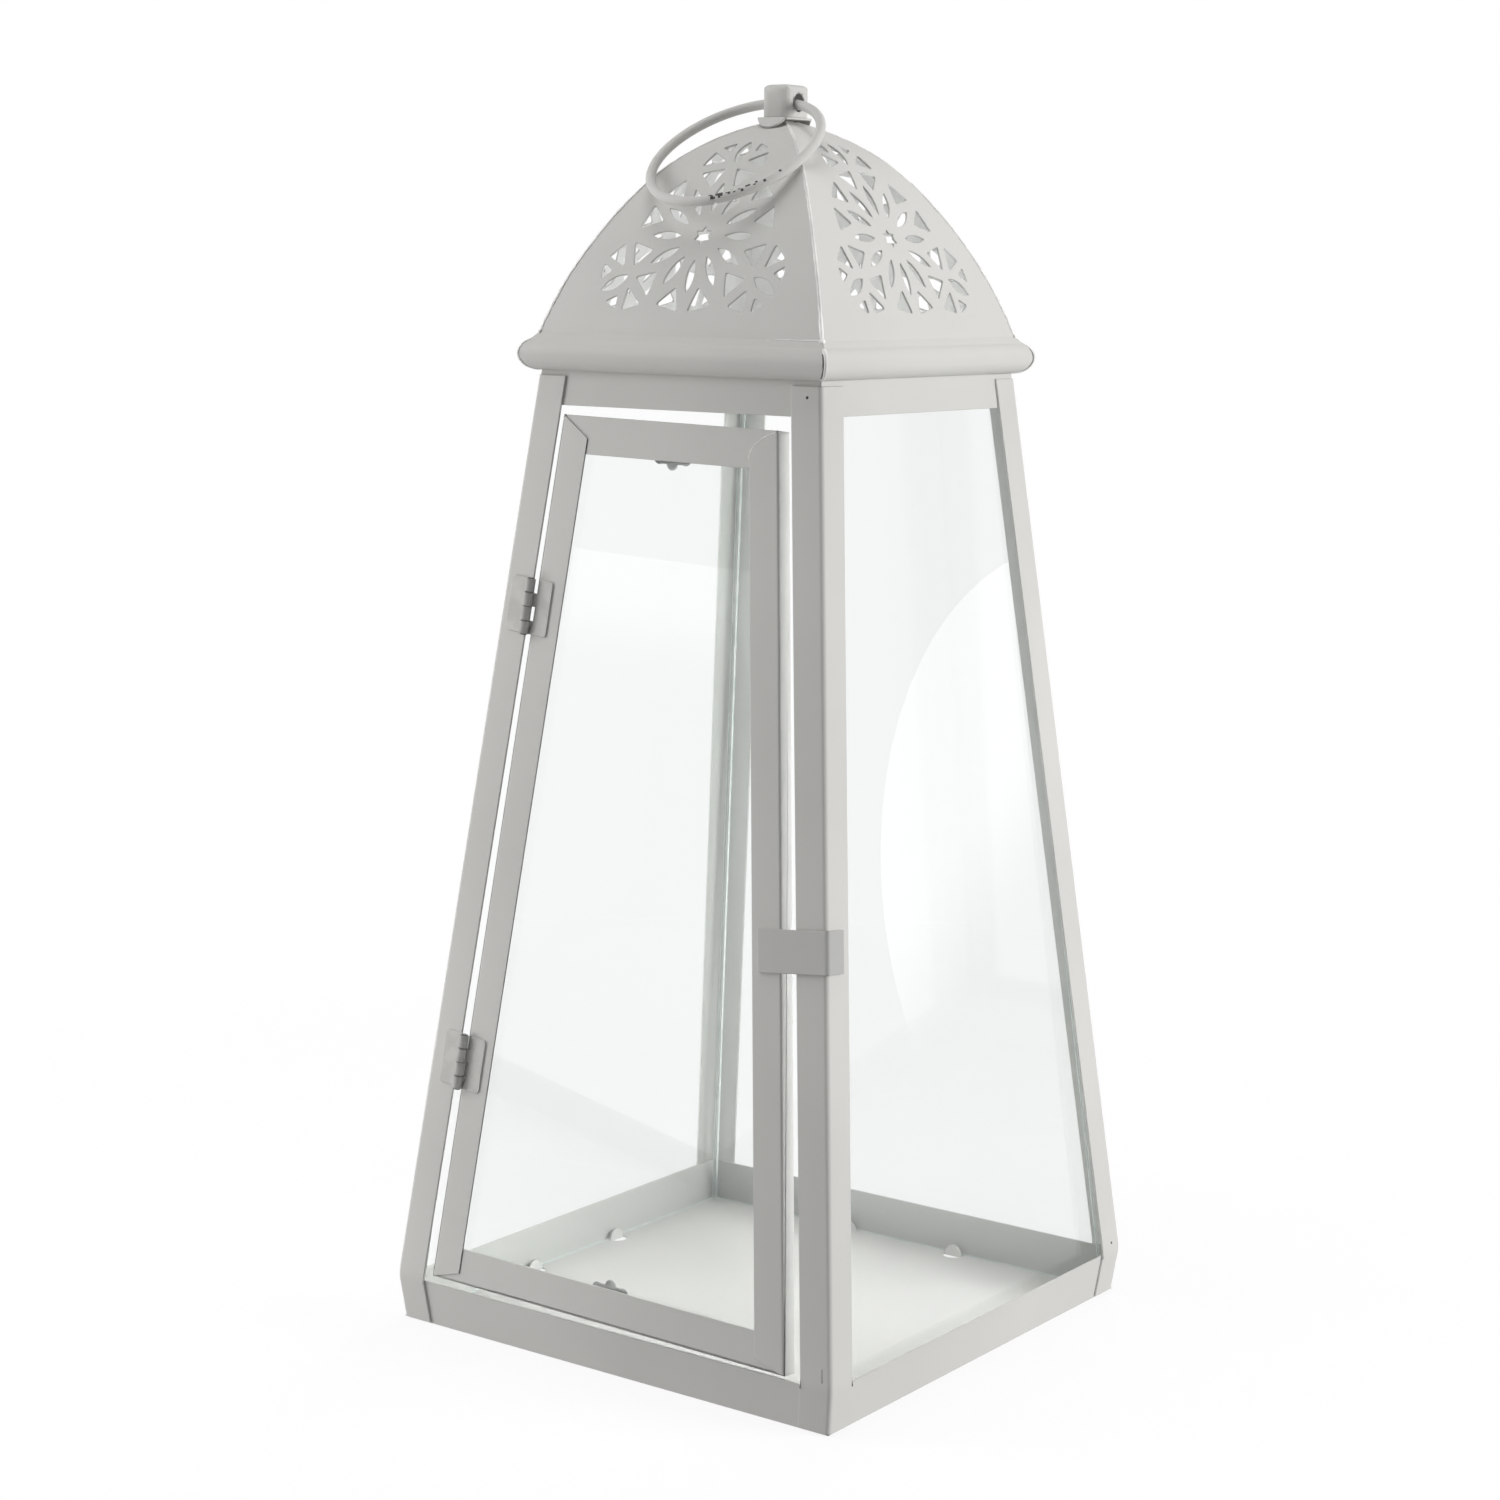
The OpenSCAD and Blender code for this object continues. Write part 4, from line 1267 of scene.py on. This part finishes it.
@dataclass
class Door:
    """The glazed door: folded stiles and rails, stamped clips and the latch strip."""

    shape: BodyShape
    fold: float = 0.0008
    top_fold: float = 0.0003
    edge: float = 0.00012
    clip_edge: float = 0.00018
    latch_fold: float = 0.0012
    latch_inner_fold: float = 0.0004
    latch_from: float = 0.008
    latch_corner: tuple[float, float] = (0.001, 0.0015)
    latch_outer_from: float = 0.0006
    border_w: float = 0.0175
    border_z: tuple[float, float] = (0.0185, 0.2885)
    long_from: float = 0.06
    face_within: float = 0.0003
    face_inset: float = 0.0002
    line_w: float = 0.0005
    lap_top: Course = (
        (0.0392, 0.2893), (0.0376, 0.2888), (0.0359, 0.2881), (0.0337, 0.2871),
        (0.0318, 0.2857), (0.0303, 0.2843), (0.02945, 0.2826), (0.02925, 0.2810),
    )
    lap_bottom: Course = ((0.0563, 0.0268), (0.0569, 0.0203))
    corner_mark: Course = ((0.0667, 0.0182), (0.0675, 0.0177))
    dimple: tuple[float, float] = (0.0621, 0.0215)
    dimple_r: float = 0.0005

    def depth(self, point: Vector) -> float:
        """Returns how far a point stands out from the posts' front face."""
        return (-point.y - self.shape.half(point.z)) * math.cos(self.shape.lean)

    def fold_rule(self, start: Vector, end: Vector, turn: float) -> float:
        """Gives the radius of an edge of a stile or rail.

        Args:
            start: One end of the edge.
            end: The other end.
            turn: The turn between its two faces, in degrees.

        Returns:
            The radius, large along the door's outer fold and small along cut edges.
        """
        if turn < SHARP_TURN:
            return 0.0
        low, high = self.border_z
        if min(start.z, end.z) > high:
            return self.top_fold
        middle = (start + end) / 2
        inset = self.shape.half(middle.z) - abs(middle.x)
        outline = inset < self.border_w or not low <= middle.z <= high
        facing = min(self.depth(start), self.depth(end)) > -self.face_within
        long = (start - end).length > self.long_from
        return self.fold if long and facing and outline else self.edge

    def latch_rule(self, start: Vector, end: Vector, turn: float) -> float:
        """Gives the radius of an edge of the latch strip.

        Args:
            start: One end of the edge.
            end: The other end.
            turn: The turn between its two faces, in degrees.

        Returns:
            The radius, large where the strip turns the post's corner.
        """
        if turn < SHARP_TURN:
            return 0.0
        middle = (start + end) / 2
        corner = self.shape.half(middle.z)
        inward, back = self.latch_corner
        upright = abs(start.z - end.z) > self.latch_from
        if not upright or middle.x <= corner - inward or middle.y >= -corner + back:
            return self.edge
        outside = self.depth(middle) > self.latch_outer_from
        return self.latch_fold if outside else self.latch_inner_fold

    def build(self) -> None:
        """Makes the frame, the clips, the latch strip and the small marks, with painted shade and
        light on some faces and painted highlight on the stile laps.
        """
        for strip in ("stile_left", "stile_right", "rail_top", "rail_bottom"):
            piece = dressed(f"door_{strip}", Body.DOOR, SHEET_PAINT, self.fold_rule, self.fold)
            # Painted shade on the left stile's face towards +X; painted light on the other strips'
            # faces towards +X.
            finish = DARK_SHADE_PAINT if strip == "stile_left" else PALE_PAINTED_LIGHT
            paint_faces(piece, finish, lambda face: face.normal.x > FACING)
        rule = same_radius(self.clip_edge)
        # The clips are darker as painted shade.
        for node in ("door_clip_top", "door_clip_bottom"):
            dressed(node, Body.DOOR, CLIP_SHADE_PAINT, rule, self.clip_edge)
        # The latch strip is darker as painted shade, and its side faces darker still.
        latch = dressed("latch_strip", Body.DOOR, LATCH_SHADE_PAINT, self.latch_rule, self.latch_fold)
        paint_faces(latch, CLIP_SHADE_PAINT, lambda face: face.normal.x > ASIDE)
        # The stile laps are raised lines with painted highlight; the corner mark is dark.
        for name, path, finish in (
            ("stile_lap_top", self.lap_top, SEAM_HIGHLIGHT_PAINT),
            ("stile_lap_bottom", self.lap_bottom, SEAM_HIGHLIGHT_PAINT),
            ("stile_corner_mark", self.corner_mark, DARK_MARK_AND_CRACK_SHADE),
        ):
            rows = self.shape.face_line(path, self.line_w, self.face_inset)
            put_on(strip_between(name, rows, finish), Body.DOOR)
        place = self.shape.on_side(0, *self.dimple, -self.face_inset)
        put_on(turned_form("stile_dimple", self.dimple_r, PIT, place, KNUCKLE_SHADE_AND_MARK_PAINT), Body.DOOR)


@dataclass
class Hinges:
    """Two small stamped hinges with their pins."""

    edge: float = 0.0001
    barrel_r: float = 0.00185
    knuckles: int = 4
    gap_r: float = 0.00154
    gap_w: float = 0.0003
    axis_from: Place = (-0.0631507, -0.0788941, 0.0872954)
    axis_way: Place = (-0.0934123, -0.108081, -0.989744)

    def off_axis(self, point: Vector) -> float:
        """Returns a point's distance from the hinges' axis."""
        return (point - Vector(self.axis_from)).cross(Vector(self.axis_way)).length

    def build(self) -> None:
        """Makes the leaves, with painted shade on their knuckles, and the pins."""
        rule = same_radius(self.edge, CLEAR_TURN)
        for body, leaf in ((Body.FRAME, "post_leaf"), (Body.DOOR, "door_leaf")):
            for hinge in ("upper", "lower"):
                piece = dressed(f"hinge_{hinge}_{leaf}", body, HINGE_PAINT, rule, self.edge)
                # Painted shade: the knuckles are darker.
                paint_faces(piece, KNUCKLE_SHADE_AND_MARK_PAINT, lambda f: self.off_axis(f.center) < self.barrel_r)
        for pin in ("hinge_upper_pin", "hinge_lower_pin"):
            # The pins are near black as painted shade.
            dressed(pin, Body.FRAME, DARK_SHADE_PAINT, rule, self.edge)
            self.gaps(pin)

    def gaps(self, pin: str) -> None:
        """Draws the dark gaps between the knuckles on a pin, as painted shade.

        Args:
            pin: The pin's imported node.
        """
        low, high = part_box(pin)
        start, way = Vector(self.axis_from), Vector(self.axis_way)
        top = start + way * ((high[2] - start.z) / way.z)
        length = (low[2] - high[2]) / way.z
        turn = way.to_track_quat("Z", "Y").to_matrix().to_4x4()
        profile = ((1.0, -self.gap_w / 2), (1.0, self.gap_w / 2))
        for k in range(1, self.knuckles):
            place = Matrix.Translation(top + way * (length * k / self.knuckles)) @ turn
            put_on(turned_form(f"{pin}_gap_{k}", self.gap_r, profile, place, DARK_SHADE_PAINT), Body.FRAME)


# ---------------------------------------------------------------- studio


@dataclass
class Lamp:
    """A soft square lamp that faces the lantern."""

    name: str
    place: Place
    size: float
    power: float
    through_glass: bool = True
    aim: Place = (0.0, 0.0, 0.18)

    def build(self) -> None:
        """Hangs the lamp."""
        light = bpy.data.lights.new(self.name, "AREA")
        light.shape = "SQUARE"
        light.size = self.size
        light.energy = self.power
        lamp = in_scene(self.name, light)
        way = Vector(self.aim) - Vector(self.place)
        lamp.location = self.place
        lamp.rotation_euler = way.to_track_quat("-Z", "Y").to_euler()
        lamp.visible_camera = lamp.visible_glossy = False
        lamp.visible_transmission = self.through_glass
        log.info("lamp %s at %s", self.name, self.place)


@dataclass(frozen=True)
class BrightCard(Finish):
    """A bright studio card that only reflections show, and that fades out to one side."""

    name: str
    place: Place
    half_width: float
    half_height: float
    level: float
    sides: int
    fade_way: tuple[float, float]
    fade_over: tuple[float, float]

    def surface(self, nodes: Wiring) -> Socket:
        """Adds the card's fading glow and returns it."""
        along = nodes.dot(nodes.own_place(), (*self.fade_way, 0.0))
        return nodes.white(nodes.spread(along, *self.fade_over, self.level, MIRRORED_LEVEL))

    def build(self) -> None:
        """Stands the card upright, facing the lantern."""
        bm = bmesh.new()
        start = math.pi / self.sides
        reach = 1 / math.cos(start)
        corners = []
        for i in range(self.sides):
            angle = start + math.tau * i / self.sides
            across, up = reach * math.cos(angle), reach * math.sin(angle)
            corners.append(bm.verts.new((across * self.half_width, up * self.half_height, 0)))
        bm.faces.new(corners)
        card = new_piece(self.name, bm, self)
        card.location = self.place
        inward = Vector((-self.place[0], -self.place[1], 0))
        card.rotation_euler = inward.to_track_quat("Z", "Y").to_euler()
        for kind in ("camera", "diffuse", "transmission", "volume_scatter", "shadow"):
            setattr(card, f"visible_{kind}", False)


@dataclass
class Viewpoint:
    """The photograph's viewpoint."""

    place: Place = (0.5639, -0.7883, 0.3395)
    azimuth: float = 36.018
    elevation: float = 9.110
    roll: float = 0.827
    focal_px: float = 3071.4
    image_px: float = 1500.0
    sensor_mm: float = 36.0
    nearest: float = 0.01

    def build(self) -> None:
        """Sets up the camera."""
        turn, rise, roll = (math.radians(v) for v in (self.azimuth, self.elevation, self.roll))
        level = math.cos(rise)
        back = Vector((math.sin(turn) * level, -math.cos(turn) * level, math.sin(rise)))
        right = Vector((math.cos(turn), math.sin(turn), 0.0))
        up = right.cross(-back)
        rolled_right = right * math.cos(roll) + up * math.sin(roll)
        rolled_up = up * math.cos(roll) - right * math.sin(roll)
        data = bpy.data.cameras.new("photo_view")
        data.sensor_width = self.sensor_mm
        data.lens = self.focal_px / self.image_px * self.sensor_mm
        data.clip_start = self.nearest
        camera = in_scene("photo_view", data)
        facing = Matrix((rolled_right, rolled_up, back)).transposed().to_4x4()
        camera.matrix_world = Matrix.Translation(self.place) @ facing
        bpy.context.scene.camera = camera


@dataclass
class Studio:
    """The floor, the world, the cards and the lamps."""

    floor_half: float = 4.0
    floor_look: PaleFloor = PaleFloor("pale_floor")
    ambient: float = 0.25
    dark_side: Place = (0.6, -0.8, 0.0)
    dark_from: float = 0.9
    dark_share: float = 0.1
    lamps: tuple[Lamp, ...] = (
        Lamp("left_low_lamp", (-0.42, -0.33, 0.05), 0.16, 1.1, through_glass=False),
        Lamp("left_top_lamp", (-0.4, -0.36, 0.5), 0.34, 1.35),
        Lamp("left_side_lamp", (-0.9, -0.22, 0.2), 0.25, 1.6),
        Lamp("right_lamp", (0.95, 0.3, 0.36), 0.5, 9.4),
        Lamp("top_lamp", (0.0, -0.12, 1.22), 0.5, 3.6),
        Lamp("rear_lamp", (-0.25, 1.0, 0.5), 0.5, 4.0),
    )
    cards: tuple[BrightCard, ...] = (
        BrightCard(
            "oval_card", (0.238, 0.382, 0.092), half_width=0.1, half_height=0.16, level=1.6,
            sides=64, fade_way=(-0.77, -0.64), fade_over=(-0.075, -0.03),
        ),
        BrightCard(
            "strip_card", (-0.234, -0.384, 0.2535), half_width=0.3, half_height=0.026, level=1.7,
            sides=4, fade_way=(0.0, -1.0), fade_over=(-0.012, 0.025),
        ),
    )

    def build(self) -> None:
        """Builds the studio round the lantern."""
        bm = bmesh.new()
        bmesh.ops.create_grid(bm, x_segments=8, y_segments=8, size=self.floor_half)
        new_piece("studio_floor", bm, self.floor_look)
        self.world()
        for fitting in (*self.cards, *self.lamps):
            fitting.build()
        bpy.context.scene.view_settings.view_transform = "Standard"

    def world(self) -> None:
        """Makes the surroundings white to look at, and as a light dimmer towards one side."""
        world = bpy.data.worlds.new("studio")
        bpy.context.scene.world = world
        world.use_nodes = True
        world.node_tree.nodes.clear()
        nodes = Wiring(world.node_tree)
        way = nodes.dot(nodes.add("TexCoord").outputs["Generated"], self.dark_side)
        dimmed = self.ambient * (1 - self.dark_share)
        level = nodes.spread(way, 0.0, self.dark_from, self.ambient, dimmed)
        lit = nodes.white(level, "Background")
        seen = nodes.white(nodes.seen_level(), "Background")
        nodes.add("OutputWorld", {"Surface": nodes.either(nodes.seen_directly(), lit, seen)})


def main() -> None:
    """Builds the lantern's looks and its studio."""
    logging.basicConfig(level=logging.INFO, format="%(name)s: %(message)s")
    shape = BodyShape()
    Viewpoint().build()
    Studio().build()
    PostsAndTray(shape).build()
    Glazing().build()
    Roof().build()
    Ring().build()
    Door(shape).build()
    Hinges().build()
    carried("pane_keepers", SHEET_PAINT)


if __name__ == "__main__":
    main()
